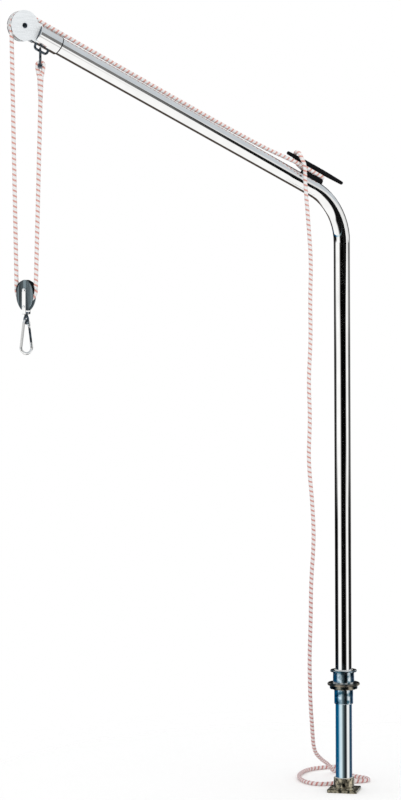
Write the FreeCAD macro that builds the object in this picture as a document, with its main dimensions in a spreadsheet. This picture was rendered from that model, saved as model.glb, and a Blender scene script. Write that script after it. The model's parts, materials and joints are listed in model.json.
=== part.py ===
import FreeCAD, Part
import math
import os
import re

import Sketcher
from FreeCAD import Placement, Rotation, Vector

# Davit crane: a bent tube that turns in a deck bush and a foot cup, with a two-part rope tackle.
# Origin: centre of the foot plate's underside. +Z up, the arm points along -X, the cleat's near side is -Y.
# Lengths are in millimetres, angles in degrees.

SIZES = [
    ("tube_diameter", 42.4, "mast and arm tube, outside"),
    ("tube_wall", 2.0, "tube wall"),
    ("corner_height", 1493.8, "height where mast axis and arm axis meet"),
    ("arm_rise", 24.25, "angle of the arm above level"),
    ("reach", 913, "mast axis to head axle, level"),
    ("bend_radius", 150, "centre line of the tube's bend"),
    ("rope_diameter", 10, "braided rope"),
    ("fit_clearance", 0.1, "between fixed pieces that fit in one another"),
    ("running_clearance", 0.08, "radial, pin or shaft in its bore"),
    ("seat_clearance", 0.3, "between pieces that move past one another"),
    ("cut_overrun", 2, "how far a cut runs past the solid"),
    ("flat_share", 0.4, "flat middle of a rounded head or tip, as a share of its radius"),
    ("plate_side", 76, "square foot plate"),
    ("plate_thickness", 6, "foot plate"),
    ("plate_corner", 5, "corner radius of the foot plate"),
    ("bolt_circle", 80, "pitch circle of the foot holes"),
    ("bolt_hole", 7, "foot holes"),
    ("cup_diameter", 52, "foot cup, outside"),
    ("cup_wall", 2.4, "foot cup wall"),
    ("cup_height", 28, "foot cup above the plate"),
    ("cup_edge", 1, "bevel of the cup's rim"),
    ("weld_leg", 2.5, "weld between cup and plate"),
    ("bush_floor", 4, "thrust floor of the foot bush"),
    ("plug_flange", 3, "flange of the mast's end plug"),
    ("plug_length", 22, "spigot of the mast's end plug"),
    ("deck_top", 308, "height of the deck flange's top"),
    ("deck_flange_diameter", 68, "deck flange"),
    ("deck_flange_thickness", 4, "deck flange"),
    ("deck_flange_edge", 1, "bevel of the flange's rim"),
    ("deck_gap", 28, "thickness of deck that fits between flange and clamp ring"),
    ("barrel_diameter", 54.5, "barrel between flange and clamp ring"),
    ("thread_diameter", 48.4, "threaded barrel"),
    ("thread_length", 54, "threaded barrel below the shoulder"),
    ("thread_bevel", 1, "lead of the thread"),
    ("barrel_bore", 44.4, "clear bore of the threaded barrel"),
    ("liner_length", 26, "nylon liner in the deck bush"),
    ("liner_wall", 2.4, "nylon liner"),
    ("clamp_ring_diameter", 83, "clamp ring under the deck"),
    ("clamp_ring_thickness", 7, "clamp ring"),
    ("ring_nut_diameter", 71, "ring nut"),
    ("ring_nut_thickness", 9, "ring nut"),
    ("ring_nut_edge", 1.5, "bevel of the ring nut"),
    ("notch_width", 7, "spanner notches of the ring nut"),
    ("notch_depth", 4, "spanner notches of the ring nut"),
    ("sleeve_diameter", 47, "head sleeve, outside"),
    ("sleeve_start", 40, "front of the head sleeve, behind the axle"),
    ("sleeve_length", 62, "head sleeve"),
    ("sleeve_floor", 5, "closed front wall of the sleeve"),
    ("sleeve_edge", 1.6, "bevel of the sleeve's ends"),
    ("cheek_diameter", 73, "round cheeks of the head"),
    ("cheek_thickness", 3, "cheeks of the head"),
    ("cheek_gap", 15, "between the head's cheeks"),
    ("cheek_neck", 46, "height of the cheeks where they meet the sleeve"),
    ("head_pitch_radius", 30, "rope's centre line on the head sheave"),
    ("head_sheave_diameter", 66, "head sheave"),
    ("head_sheave_width", 13, "head sheave"),
    ("head_groove_mouth", 11.4, "groove's width at the rim"),
    ("head_bush_diameter", 16, "bush in the head sheave"),
    ("head_hub_diameter", 26, "raised hub of the head sheave"),
    ("head_rim_diameter", 46, "inside of the head sheave's rim"),
    ("head_web_recess", 2.5, "web set back from hub and rim"),
    ("head_axle_diameter", 10, "head axle"),
    ("head_axle_head", 13, "button head of the axle"),
    ("head_axle_head_height", 2.5, "button head of the axle"),
    ("head_socket", 5.5, "hexagon recess, across flats"),
    ("head_socket_depth", 1.8, "hexagon recess"),
    ("head_nut_flats", 17, "axle nut, across flats"),
    ("head_nut_height", 8, "axle nut"),
    ("head_axle_tip", 1.5, "axle past its nut"),
    ("head_washer_diameter", 22, "thrust washers"),
    ("strap_rod", 6, "rod of the eye strap"),
    ("strap_place", 66, "middle of the eye strap, behind the head axle"),
    ("strap_half_length", 18, "eye strap, middle to leg"),
    ("strap_drop", 34, "eye strap's bar below the arm's axis"),
    ("strap_bend", 7, "corners of the eye strap"),
    ("shackle_rod", 5, "bow of the shackle"),
    ("shackle_opening", 12, "shackle, inside width"),
    ("shackle_pin_diameter", 6, "shackle pin"),
    ("shackle_drop", 35, "shackle pin below the eye strap's bar"),
    ("shackle_slack", 0.9, "extra rise of the bow, which lies aslant over the bar"),
    ("shackle_turn", -31.5, "shackle's pin about the plumb line, from the Y axis"),
    ("shackle_eye_diameter", 11, "ends of the bow"),
    ("pin_collar_diameter", 9.5, "collar of the shackle pin"),
    ("pin_collar_length", 2, "collar of the shackle pin"),
    ("pin_tab_diameter", 10, "thumb tab of the shackle pin"),
    ("pin_tab_thickness", 2.5, "thumb tab of the shackle pin"),
    ("pin_tab_hole", 4, "hole in the thumb tab"),
    ("throat_drop", 30, "throat of the rope eye below the shackle pin"),
    ("splice_diameter", 15, "thick end of the splice"),
    ("splice_drop", 80, "end of the splice's taper below the shackle pin"),
    ("cleat_length", 184, "horn cleat, tip to tip"),
    ("cleat_place", 112, "middle of the cleat, from the corner along the arm"),
    ("cleat_lift", 50, "axis of the horns above the arm's axis"),
    ("horn_diameter", 13, "horns at the middle"),
    ("horn_tip_diameter", 9, "horns near their tips"),
    ("horn_tip_length", 4, "rounded tips of the horns"),
    ("leg_place", 14, "middle of the cleat to the middle of a leg"),
    ("leg_length", 17, "legs of the cleat, along the arm"),
    ("leg_width", 12, "legs of the cleat, across"),
    ("cleat_base_length", 68, "foot of the cleat"),
    ("cleat_base_width", 24, "foot of the cleat"),
    ("cleat_base_top", 28.5, "top of the cleat's foot above the arm's axis"),
    ("cleat_base_height", 11, "cleat's foot, top to skirt"),
    ("screw_diameter", 5, "cleat screws"),
    ("screw_head_diameter", 8.5, "cleat screws' heads"),
    ("screw_head_height", 4, "cleat screws' heads"),
    ("screw_head_lift", 2, "seat of the screw heads above the horns' axis"),
    ("screw_length", 42, "cleat screws under their heads"),
    ("block_across", 907, "mast axis to the block's axle, level"),
    ("block_height", 1280.5, "height of the block's axle"),
    ("block_turn", -53.5, "block's plane about the plumb line"),
    ("block_pitch_radius", 25, "rope's centre line on the block's sheave"),
    ("block_sheave_diameter", 48, "block's sheave"),
    ("block_sheave_width", 12, "block's sheave"),
    ("block_groove_mouth", 10.4, "groove's width at the rim"),
    ("block_bush_diameter", 13, "bush in the block's sheave"),
    ("block_axle_diameter", 8, "block's axle"),
    ("block_gap", 13, "between the block's cheeks"),
    ("block_cheek_width", 43, "oval cheek, across"),
    ("block_cheek_height", 73, "oval cheek, top to bottom"),
    ("block_cheek_end_radius", 14, "ends of the oval cheek"),
    ("block_cheek_drop", 12, "axle to the oval's middle"),
    ("block_cheek_thickness", 5, "block's cheeks"),
    ("block_cheek_round", 2.8, "rounded rim of the block's cheeks"),
    ("block_strap_width", 9, "strap of the block"),
    ("block_strap_thickness", 2, "strap of the block"),
    ("block_strap_bend", 3, "outer corners of the strap"),
    ("block_strap_drop", 57, "axle to the strap's underside"),
    ("rivet_head_diameter", 8, "heads of the axle rivet"),
    ("rivet_head_height", 2, "heads of the axle rivet"),
    ("spacer_drop", 39, "axle to the spacer"),
    ("spacer_diameter", 9, "spacer between the cheeks"),
    ("spacer_rivet_diameter", 4.5, "rivet through the spacer"),
    ("spacer_rivet_head", 7, "heads of the spacer's rivet"),
    ("spacer_rivet_head_height", 1.5, "heads of the spacer's rivet"),
    ("swivel_drop", 70, "block's axle to the middle of the swivel eye"),
    ("swivel_eye_radius", 8.5, "centre line of the swivel eye"),
    ("swivel_rod", 6, "rod of the swivel eye"),
    ("swivel_shank", 6, "shank of the swivel"),
    ("swivel_collar", 9, "collar under the strap"),
    ("swivel_nut_flats", 9.5, "nut on the swivel's shank"),
    ("swivel_nut_height", 3.5, "nut on the swivel's shank"),
    ("hook_wire", 6.5, "snap hook"),
    ("hook_top_radius", 6.8, "centre line of the hook's small end"),
    ("hook_bow_radius", 14.2, "centre line of the hook's big end"),
    ("hook_spacing", 57, "between the two ends' centres"),
    ("gate_diameter", 5.6, "gate of the snap hook"),
    ("gate_start_share", 0.14, "gate's hinge end along the leg, as a share of it"),
    ("gate_end_share", 0.82, "nose along the leg, as a share of it"),
    ("gate_gap", 0.5, "between gate and hook at each end"),
    ("tongue_thickness", 2.6, "hinge tongue of the hook"),
    ("tongue_width", 4.4, "hinge tongue of the hook"),
    ("gate_slot", 3.2, "slot of the gate round the tongue"),
    ("gate_slot_depth", 4.5, "slot below the hinge pin"),
    ("gate_pin_diameter", 2.2, "hinge pin of the gate"),
    ("gate_spring_diameter", 2.2, "spring inside the gate"),
    ("gate_spring_wire", 0.45, "spring inside the gate"),
    ("gate_spring_length", 9, "spring inside the gate"),
    ("whipping_length", 16, "sealed end of the rope"),
]

# Spreadsheet with every driving dimension
doc = FreeCAD.newDocument("davit_crane")
sheet = doc.addObject("Spreadsheet::Sheet", "sizes")
for row, (alias, number, note) in enumerate(SIZES, start=1):
    sheet.set(f"A{row}", alias)
    sheet.set(f"B{row}", str(number))
    sheet.set(f"C{row}", note)
    sheet.setAlias(f"B{row}", alias)
doc.recompute()
ALIASES = {alias for alias, number, note in SIZES}
pieces = []


def bound(expression):
    """The expression with every alias written as a reference to the sheet."""
    return re.sub(r"[a-z_]+", lambda word: "sizes." + word[0] if word[0] in ALIASES else word[0], expression)


def value(expression):
    """The number that an expression of the sheet's sizes gives now."""
    return float(sheet.evalExpression(bound(expression)))


def tie(thing, target, expression):
    """Bind a property or constraint to an expression of the sheet's sizes."""
    if not re.fullmatch(r"-?0", expression):
        thing.setExpression(target, bound(expression))


def place(thing, x="0", y="0", z="0", axis=None, angle="0"):
    """Bind a thing's place, and its turn about one axis."""
    if axis:
        thing.Placement = Placement(Vector(), Rotation(axis, value(angle)))
        tie(thing, "Placement.Rotation.Angle", angle)
    for name, expression in (("x", x), ("y", y), ("z", z)):
        tie(thing, "Placement.Base." + name, expression)
    return thing


def piece(thing, label):
    """Register a finished sub-part under the name of its node."""
    thing.Label = label
    pieces.append(thing)
    return thing


# Sketch and feature helpers

def new_body(label):
    return doc.addObject("PartDesign::Body", label)


def origin_part(body, role):
    return [part for part in body.Origin.OriginFeatures if part.Role == role][0]


def new_sketch(body, plane, offset="0"):
    sketch = body.newObject("Sketcher::SketchObject", body.Name + "_sketch")
    sketch.AttachmentSupport = [(origin_part(body, plane), "")]
    sketch.MapMode = "FlatFace"
    tie(sketch, "AttachmentOffset.Base.z", offset)
    return sketch


def fix_point(sketch, geometry, position, point):
    """Tie one point of a sketch to two expressions."""
    for kind, expression in (("DistanceX", point[0]), ("DistanceY", point[1])):
        number = sketch.addConstraint(
            Sketcher.Constraint(kind, -1, 1, geometry, position, value(expression)))
        tie(sketch, f"Constraints[{number}]", expression)


def arc_through(start, middle, end):
    """Counter-clockwise arc through three points, and whether it runs from start to end."""
    circle = Part.ArcOfCircle(start, middle, end)
    centre = circle.Center
    angles = [math.atan2(p.y - centre.y, p.x - centre.x) for p in (start, end)]
    forward = (middle - start).cross(end - start).z > 0
    first, last = angles if forward else angles[::-1]
    if last <= first:
        last += 2 * math.pi
    flat = Part.Circle(centre, Vector(0, 0, 1), circle.Radius)
    return Part.ArcOfCircle(flat, first, last), forward


def draw(sketch, points, closed=True):
    """Lines and arcs through corners (x, y). A corner (x, y, "via") bends the segment into an arc."""
    spots = [Vector(value(p[0]), value(p[1]), 0) for p in points]
    count = len(points)
    corners = [i for i in range(count) if len(points[i]) == 2]
    stops = corners + [corners[0]] if closed else corners
    segments = []
    for here, there in zip(stops, stops[1:]):
        between = (here + 1) % count
        if between == there:
            number = sketch.addGeometry(Part.LineSegment(spots[here], spots[there]))
            segments.append((number, 1, 2, here))
            continue
        arc, forward = arc_through(spots[here], spots[between], spots[there])
        number = sketch.addGeometry(arc)
        helper = sketch.addGeometry(Part.Point(spots[between]), True)
        sketch.addConstraint(Sketcher.Constraint("PointOnObject", helper, 1, number))
        fix_point(sketch, helper, 1, points[between])
        segments.append((number, 1, 2, here) if forward else (number, 2, 1, here))
    pairs = zip(segments, segments[1:] + segments[:1]) if closed else zip(segments, segments[1:])
    for one, other in pairs:
        sketch.addConstraint(Sketcher.Constraint("Coincident", one[0], one[2], other[0], other[1]))
    for number, start, end, corner in segments:
        fix_point(sketch, number, start, points[corner])
    if not closed:
        fix_point(sketch, segments[-1][0], segments[-1][2], points[corners[-1]])
    return sketch


def draw_circle(sketch, radius, x="0", y="0"):
    middle = Vector(value(x), value(y), 0)
    number = sketch.addGeometry(Part.Circle(middle, Vector(0, 0, 1), value(radius)))
    size = sketch.addConstraint(Sketcher.Constraint("Radius", number, value(radius)))
    tie(sketch, f"Constraints[{size}]", radius)
    fix_point(sketch, number, 3, (x, y))
    return sketch


def rectangle(left, right, low, high):
    return [(left, low), (right, low), (right, high), (left, high)]


def hexagon(flats):
    corners = [(f"({flats}) / sqrt(3) * cos({60 * i})", f"({flats}) / sqrt(3) * sin({60 * i})")
               for i in range(6)]
    return corners


def revolve(body, sketch, axis, angle=360, reverse=False):
    feature = body.newObject("PartDesign::Revolution", body.Name + "_turn")
    feature.Profile = sketch
    feature.ReferenceAxis = (sketch, [axis])
    feature.Angle = angle
    feature.Reversed = reverse
    doc.recompute()
    return feature


def pad(body, sketch, length, both_ways=True, reverse=False):
    feature = body.newObject("PartDesign::Pad", body.Name + "_pad")
    feature.Profile = sketch
    feature.SideType = "Symmetric" if both_ways else "One side"
    feature.Reversed = reverse
    tie(feature, "Length", length)
    doc.recompute()
    return feature


def pocket(body, sketch, length, both_ways=True, reverse=False):
    before = body.Shape.Volume
    feature = body.newObject("PartDesign::Pocket", body.Name + "_pocket")
    feature.Profile = sketch
    feature.SideType = "Symmetric" if both_ways else "One side"
    feature.Reversed = reverse
    tie(feature, "Length", length)
    doc.recompute()
    if body.Shape.Volume >= before:
        raise RuntimeError(f"{body.Label}: a pocket cuts nothing")
    return feature


def polar(body, feature, count, axis="Z_Axis"):
    pattern = body.newObject("PartDesign::PolarPattern", body.Name + "_ring")
    pattern.Originals = [feature]
    pattern.Axis = (origin_part(body, axis), [""])
    pattern.Angle = 360
    pattern.Occurrences = count
    body.Tip = pattern
    doc.recompute()
    return pattern


def fillet(body, radius, chosen):
    """Round the edges of the body for which chosen(edge) is true."""
    base = body.Tip
    names = [f"Edge{i}" for i, edge in enumerate(base.Shape.Edges, start=1) if chosen(edge)]
    feature = body.newObject("PartDesign::Fillet", body.Name + "_round")
    feature.Base = (base, names)
    tie(feature, "Radius", radius)
    body.Tip = feature
    doc.recompute()
    return feature


def turned(label, points, plane="XZ_Plane"):
    """A piece turned about its own Z axis, or about Y on the XY plane. Points are (radius, place)."""
    body = new_body(label)
    revolve(body, draw(new_sketch(body, plane), points), "V_Axis")
    return body


def bent_rod(body, plane, points, radius, inner=None):
    """A round rod or tube swept along an open path of lines and arcs."""
    path = draw(new_sketch(body, plane), points, closed=False)
    doc.recompute()
    section = body.newObject("Sketcher::SketchObject", body.Name + "_section")
    section.AttachmentSupport = [(path, "Edge1")]
    section.MapMode = "NormalToEdge"
    section.MapPathParameter = 0
    draw_circle(section, radius)
    if inner:
        draw_circle(section, inner)
    doc.recompute()
    feature = body.newObject("PartDesign::AdditivePipe", body.Name + "_pipe")
    feature.Profile = section
    feature.Spine = (path, [f"Edge{i + 1}" for i in range(len(path.Shape.Edges))])
    doc.recompute()
    return feature


def cylinder(label, radius, height):
    thing = doc.addObject("Part::Cylinder", label)
    tie(thing, "Radius", radius)
    tie(thing, "Height", height)
    return thing


def cut(label, base, tool):
    thing = doc.addObject("Part::Cut", label)
    thing.Base = base
    thing.Tool = tool
    return thing


def joined(label, things):
    thing = doc.addObject("Part::MultiFuse", label)
    thing.Shapes = things
    return thing


def group(label, things):
    thing = doc.addObject("Part::Compound", label)
    thing.Links = things
    return thing


Y_AXIS = Vector(0, 1, 0)
Z_AXIS = Vector(0, 0, 1)

# Places that several pieces share
TUBE_RADIUS = "tube_diameter / 2"
HEAD_HEIGHT = "(corner_height + reach * tan(arm_rise))"
ARM_LENGTH = "(reach / cos(arm_rise))"
CUP_TOP = "(plate_thickness + cup_height)"
PLUG_FOOT = "(plate_thickness + bush_floor + seat_clearance)"
TUBE_FOOT = f"({PLUG_FOOT} + plug_flange)"
SHOULDER = "(deck_top - deck_flange_thickness - deck_gap)"
LINER_FOOT = "(deck_top - liner_length)"
LINER_BORE = "(tube_diameter / 2 + running_clearance)"
LINER_SEAT = f"({LINER_BORE} + liner_wall)"


def behind_head(distance, lift="0"):
    """Place on the arm, measured from the head axle back along the arm and up square to it."""
    return {"x": f"-reach + ({distance}) * cos(arm_rise) + ({lift}) * sin(arm_rise)",
            "z": f"{HEAD_HEIGHT} - ({distance}) * sin(arm_rise) + ({lift}) * cos(arm_rise)"}


def on_arm(thing, distance="0", lift="0"):
    """Put a thing on the arm, its X axis running down the arm towards the mast."""
    return place(thing, axis=Y_AXIS, angle="arm_rise", **behind_head(distance, lift))


CLEAT_DISTANCE = f"({ARM_LENGTH} - cleat_place)"

# Foot: plate, cup and nylon bush
plate = new_body("base_plate")
pad(plate, draw(new_sketch(plate, "XY_Plane"),
                rectangle("-plate_side / 2", "plate_side / 2", "-plate_side / 2", "plate_side / 2")),
    "plate_thickness", both_ways=False)
fillet(plate, "plate_corner", lambda edge: abs(edge.tangentAt(edge.FirstParameter).z) > 0.9)
hole = pocket(plate, draw_circle(new_sketch(plate, "XY_Plane"), "bolt_hole / 2",
                                 "bolt_circle / 2 * cos(45)", "bolt_circle / 2 * sin(45)"),
              "2 * plate_thickness + cut_overrun")
polar(plate, hole, 4)
piece(place(plate, axis=Z_AXIS, angle="45"), "base_plate")

cup_radius = "cup_diameter / 2"
piece(turned("foot_cup", [
    (f"{cup_radius} - cup_wall", "plate_thickness"),
    (f"{cup_radius} + weld_leg", "plate_thickness"),
    (cup_radius, "plate_thickness + weld_leg"),
    (cup_radius, f"{CUP_TOP} - cup_edge"),
    (f"{cup_radius} - cup_edge", CUP_TOP),
    (f"{cup_radius} - cup_wall", CUP_TOP),
]), "foot_cup")

bush_radius = f"({cup_radius} - cup_wall - fit_clearance)"
piece(turned("foot_bush", [
    ("0", "plate_thickness"),
    (bush_radius, "plate_thickness"),
    (bush_radius, CUP_TOP),
    (LINER_BORE, CUP_TOP),
    (LINER_BORE, "plate_thickness + bush_floor"),
    ("0", "plate_thickness + bush_floor"),
]), "foot_bush")

# Deck bush: flange, barrel, thread, liner, clamp ring and ring nut
flange_radius = "deck_flange_diameter / 2"
thread_radius = "thread_diameter / 2"
thread_foot = f"({SHOULDER} - thread_length)"
piece(turned("deck_bush", [
    ("barrel_bore / 2", thread_foot),
    (f"{thread_radius} - thread_bevel", thread_foot),
    (thread_radius, f"{thread_foot} + thread_bevel"),
    (thread_radius, SHOULDER),
    ("barrel_diameter / 2", SHOULDER),
    ("barrel_diameter / 2", "deck_top - deck_flange_thickness"),
    (flange_radius, "deck_top - deck_flange_thickness"),
    (flange_radius, "deck_top - deck_flange_edge"),
    (f"{flange_radius} - deck_flange_edge", "deck_top"),
    (LINER_SEAT, "deck_top"),
    (LINER_SEAT, LINER_FOOT),
    ("barrel_bore / 2", LINER_FOOT),
]), "deck_bush")

piece(turned("bush_liner", rectangle(LINER_BORE, f"{LINER_SEAT} - fit_clearance", LINER_FOOT, "deck_top")),
      "bush_liner")

ring_bore = f"({thread_radius} + fit_clearance)"
ring_radius = "clamp_ring_diameter / 2"
ring_foot = f"({SHOULDER} - clamp_ring_thickness)"
ring_round = "clamp_ring_thickness / 2"
piece(turned("clamp_ring", [
    (ring_bore, ring_foot),
    (f"{ring_radius} - {ring_round}", ring_foot),
    (ring_radius, f"{ring_foot} + {ring_round}", "via"),
    (f"{ring_radius} - {ring_round}", SHOULDER),
    (ring_bore, SHOULDER),
]), "clamp_ring")

nut_radius = "ring_nut_diameter / 2"
nut_foot = f"({ring_foot} - ring_nut_thickness)"
ring_nut = turned("ring_nut", [
    (ring_bore, nut_foot),
    (f"{nut_radius} - ring_nut_edge", nut_foot),
    (nut_radius, f"{nut_foot} + ring_nut_edge"),
    (nut_radius, ring_foot),
    (ring_bore, ring_foot),
])
notch = pocket(ring_nut, draw(new_sketch(ring_nut, "XY_Plane", ring_foot), rectangle(
    f"{nut_radius} - notch_depth", f"{nut_radius} + cut_overrun", "-notch_width / 2", "notch_width / 2")),
    "2 * ring_nut_thickness + cut_overrun")
polar(ring_nut, notch, 6)
piece(ring_nut, "ring_nut")

# Mast and arm: one bent tube with an end plug
turn = "(90 - arm_rise)"
tangent = f"(bend_radius * tan({turn} / 2))"
tube_end = f"({ARM_LENGTH} - sleeve_start - sleeve_floor - seat_clearance)"
tube_pipe = new_body("mast_pipe")
bent_rod(tube_pipe, "XZ_Plane", [
    ("0", TUBE_FOOT),
    ("0", f"corner_height - {tangent}"),
    (f"bend_radius * (cos({turn} / 2) - 1)", f"corner_height - {tangent} + bend_radius * sin({turn} / 2)", "via"),
    (f"-{tangent} * cos(arm_rise)", f"corner_height + {tangent} * sin(arm_rise)"),
    (f"-{tube_end} * cos(arm_rise)", f"corner_height + {tube_end} * sin(arm_rise)"),
], TUBE_RADIUS, f"{TUBE_RADIUS} - tube_wall")
screw_holes = []
for side in ("-", ""):
    drill = cylinder("screw_drill", "screw_diameter / 2 + fit_clearance", "tube_diameter / 2 + cut_overrun")
    screw_holes.append(on_arm(drill, f"{CLEAT_DISTANCE} + {side}leg_place"))
piece(cut("mast_tube", tube_pipe, group("screw_drills", screw_holes)), "mast_tube")

plug_radius = f"({TUBE_RADIUS} - tube_wall - fit_clearance)"
piece(turned("mast_end_plug", [
    ("0", PLUG_FOOT),
    (TUBE_RADIUS, PLUG_FOOT),
    (TUBE_RADIUS, TUBE_FOOT),
    (plug_radius, TUBE_FOOT),
    (plug_radius, f"{TUBE_FOOT} + plug_length"),
    ("0", f"{TUBE_FOOT} + plug_length"),
]), "mast_end_plug")

# Head: fork with sleeve, sheave on its axle
sleeve_radius = "sleeve_diameter / 2"
sleeve_bore = f"({TUBE_RADIUS} + fit_clearance)"
sleeve_end = "(sleeve_start + sleeve_length)"
cheek_radius = "cheek_diameter / 2"
neck_place = f"sqrt(({cheek_radius}) ^ 2 - (cheek_neck / 2) ^ 2)"
fork_width = "(cheek_gap + 2 * cheek_thickness)"
head_fork = new_body("head_fork")
revolve(head_fork, draw(new_sketch(head_fork, "XZ_Plane"), [
    ("sleeve_start", "0"),
    ("sleeve_start", f"{sleeve_radius} - sleeve_edge"),
    ("sleeve_start + sleeve_edge", sleeve_radius),
    (f"{sleeve_end} - sleeve_edge / 2", sleeve_radius),
    (sleeve_end, f"{sleeve_radius} - sleeve_edge / 2"),
    (sleeve_end, sleeve_bore),
    ("sleeve_start + sleeve_floor", sleeve_bore),
    ("sleeve_start + sleeve_floor", "0"),
]), "H_Axis")
pad(head_fork, draw(new_sketch(head_fork, "XZ_Plane"), [
    (neck_place, "-cheek_neck / 2"),
    (f"-{cheek_radius}", "0", "via"),
    (neck_place, "cheek_neck / 2"),
    ("sleeve_start + sleeve_edge", "cheek_neck / 2"),
    ("sleeve_start + sleeve_edge", "-cheek_neck / 2"),
]), fork_width)
pocket(head_fork, draw(new_sketch(head_fork, "XY_Plane"), rectangle(
    f"-{cheek_radius} - cut_overrun", "sleeve_start", "-cheek_gap / 2", "cheek_gap / 2")),
    "cheek_diameter + cut_overrun")
pocket(head_fork, draw_circle(new_sketch(head_fork, "XZ_Plane"), "head_axle_diameter / 2 + fit_clearance"),
       f"{fork_width} + cut_overrun")
piece(on_arm(head_fork), "head_fork")


def sheave_profile(radius, half_width, bore, root, mouth, hub, rim, recess):
    """Half section of a grooved wheel, with a web set back between hub and rim."""
    side = [(bore, half_width), (hub, half_width), (f"{hub} + {recess}", f"{half_width} - {recess}"),
            (f"{rim} - {recess}", f"{half_width} - {recess}"), (rim, half_width), (radius, half_width),
            (radius, f"{mouth} / 2")]
    other = [(r, f"-({y})") for r, y in reversed(side)]
    return side + [(root, "0", "via")] + other


head_root = "(head_pitch_radius - rope_diameter / 2 - seat_clearance)"
head_sheave = turned("head_sheave", sheave_profile(
    "head_sheave_diameter / 2", "head_sheave_width / 2", "head_bush_diameter / 2", head_root,
    "head_groove_mouth", "head_hub_diameter / 2", "head_rim_diameter / 2", "head_web_recess"), "XY_Plane")
piece(place(head_sheave, **behind_head("0")), "head_sheave")

head_shaft = "(head_axle_diameter / 2)"
piece(place(turned("head_sheave_bush", rectangle(
    f"{head_shaft} + running_clearance", "head_bush_diameter / 2 - fit_clearance / 2",
    "-head_sheave_width / 2", "head_sheave_width / 2"), "XY_Plane"), **behind_head("0")), "head_sheave_bush")

washers = []
for side in ("-", ""):
    edges = [f"{side}(cheek_gap / 2)", f"{side}(head_sheave_width / 2 + seat_clearance)"]
    washer = turned("head_washer", rectangle(
        f"{head_shaft} + fit_clearance", "head_washer_diameter / 2", *edges), "XY_Plane")
    washers.append(place(washer, **behind_head("0")))
piece(group("head_washers", washers), "head_washers")

near_face = f"(-{fork_width} / 2)"
axle_top = f"({near_face} - head_axle_head_height)"
nut_end = f"({fork_width} / 2 + head_nut_height)"
head_axle = turned("head_axle", [
    ("0", axle_top),
    ("head_axle_head / 2 * 0.6", axle_top),
    ("head_axle_head / 2 * 0.9", f"{axle_top} + head_axle_head_height * 0.35", "via"),
    ("head_axle_head / 2", near_face),
    (head_shaft, near_face),
    (head_shaft, f"{nut_end} + head_axle_tip"),
    ("0", f"{nut_end} + head_axle_tip"),
], "XY_Plane")
pocket(head_axle, draw(new_sketch(head_axle, "XZ_Plane", f"-({axle_top}) - head_socket_depth"),
                       hexagon("head_socket")),
       "head_socket_depth + cut_overrun", both_ways=False, reverse=True)
piece(place(head_axle, **behind_head("0")), "head_axle")

head_nut = new_body("head_axle_nut")
nut_sketch = draw(new_sketch(head_nut, "XZ_Plane", f"-{nut_end}"), hexagon("head_nut_flats"))
draw_circle(nut_sketch, f"{head_shaft} + fit_clearance")
pad(head_nut, nut_sketch, "head_nut_height", both_ways=False)
piece(place(head_nut, **behind_head("0")), "head_axle_nut")

# Eye strap under the sleeve, its legs cut to sit on the sleeve
strap_rod = new_body("strap_rod")
strap_top = f"-{sleeve_radius} + cut_overrun"
bend_in = "strap_bend * (1 - sqrt(0.5))"
bent_rod(strap_rod, "XZ_Plane", [
    ("-strap_half_length", strap_top),
    ("-strap_half_length", "strap_bend - strap_drop"),
    (f"{bend_in} - strap_half_length", f"{bend_in} - strap_drop", "via"),
    ("strap_bend - strap_half_length", "-strap_drop"),
    ("strap_half_length - strap_bend", "-strap_drop"),
    (f"strap_half_length - {bend_in}", f"{bend_in} - strap_drop", "via"),
    ("strap_half_length", "strap_bend - strap_drop"),
    ("strap_half_length", strap_top),
], "strap_rod / 2")
on_arm(strap_rod, "strap_place")
strap_seat = cylinder("strap_seat", sleeve_radius, "sleeve_length")
strap_seat.Placement = Placement(Vector(), Rotation(Y_AXIS, value("arm_rise + 90")))
tie(strap_seat, "Placement.Rotation.Angle", "arm_rise + 90")
place(strap_seat, **behind_head("sleeve_start"))
piece(cut("eye_strap", strap_rod, strap_seat), "eye_strap")

# Shackle: bow over the eye strap's bar, pin through the rope's eye
EYE_BAR = behind_head("strap_place", "-strap_drop")
PIN_HEIGHT = f"({EYE_BAR['z']} - shackle_drop)"
bow_radius = "(shackle_opening / 2 + shackle_rod / 2)"
bow_top = "((strap_rod / 2 + shackle_rod / 2 + seat_clearance) / cos(arm_rise) + shackle_drop + shackle_slack)"
bow_width = "(shackle_opening + 2 * shackle_rod + 2 * fit_clearance)"
bow = new_body("shackle_bow")
bow_spring = f"({bow_top} - {bow_radius})"
half_ring = draw_circle(new_sketch(bow, "XY_Plane", bow_spring), "shackle_rod / 2", bow_radius)
revolve(bow, half_ring, "V_Axis", 180, reverse=True)
legs = draw_circle(new_sketch(bow, "XY_Plane", bow_spring), "shackle_rod / 2", bow_radius)
draw_circle(legs, "shackle_rod / 2", f"-{bow_radius}")
pad(bow, legs, bow_spring, both_ways=False, reverse=True)
pad(bow, draw_circle(new_sketch(bow, "YZ_Plane"), "shackle_eye_diameter / 2"), bow_width)
pocket(bow, draw(new_sketch(bow, "XY_Plane"), rectangle(
    "fit_clearance - shackle_opening / 2", "shackle_opening / 2 - fit_clearance",
    "-shackle_eye_diameter", "shackle_eye_diameter")),
    "shackle_eye_diameter + cut_overrun")
pocket(bow, draw_circle(new_sketch(bow, "YZ_Plane"), "shackle_pin_diameter / 2 + fit_clearance"),
       f"{bow_width} + cut_overrun")
piece(place(bow, x=EYE_BAR["x"], z=PIN_HEIGHT, axis=Z_AXIS, angle="90 + shackle_turn"), "shackle_bow")

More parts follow.
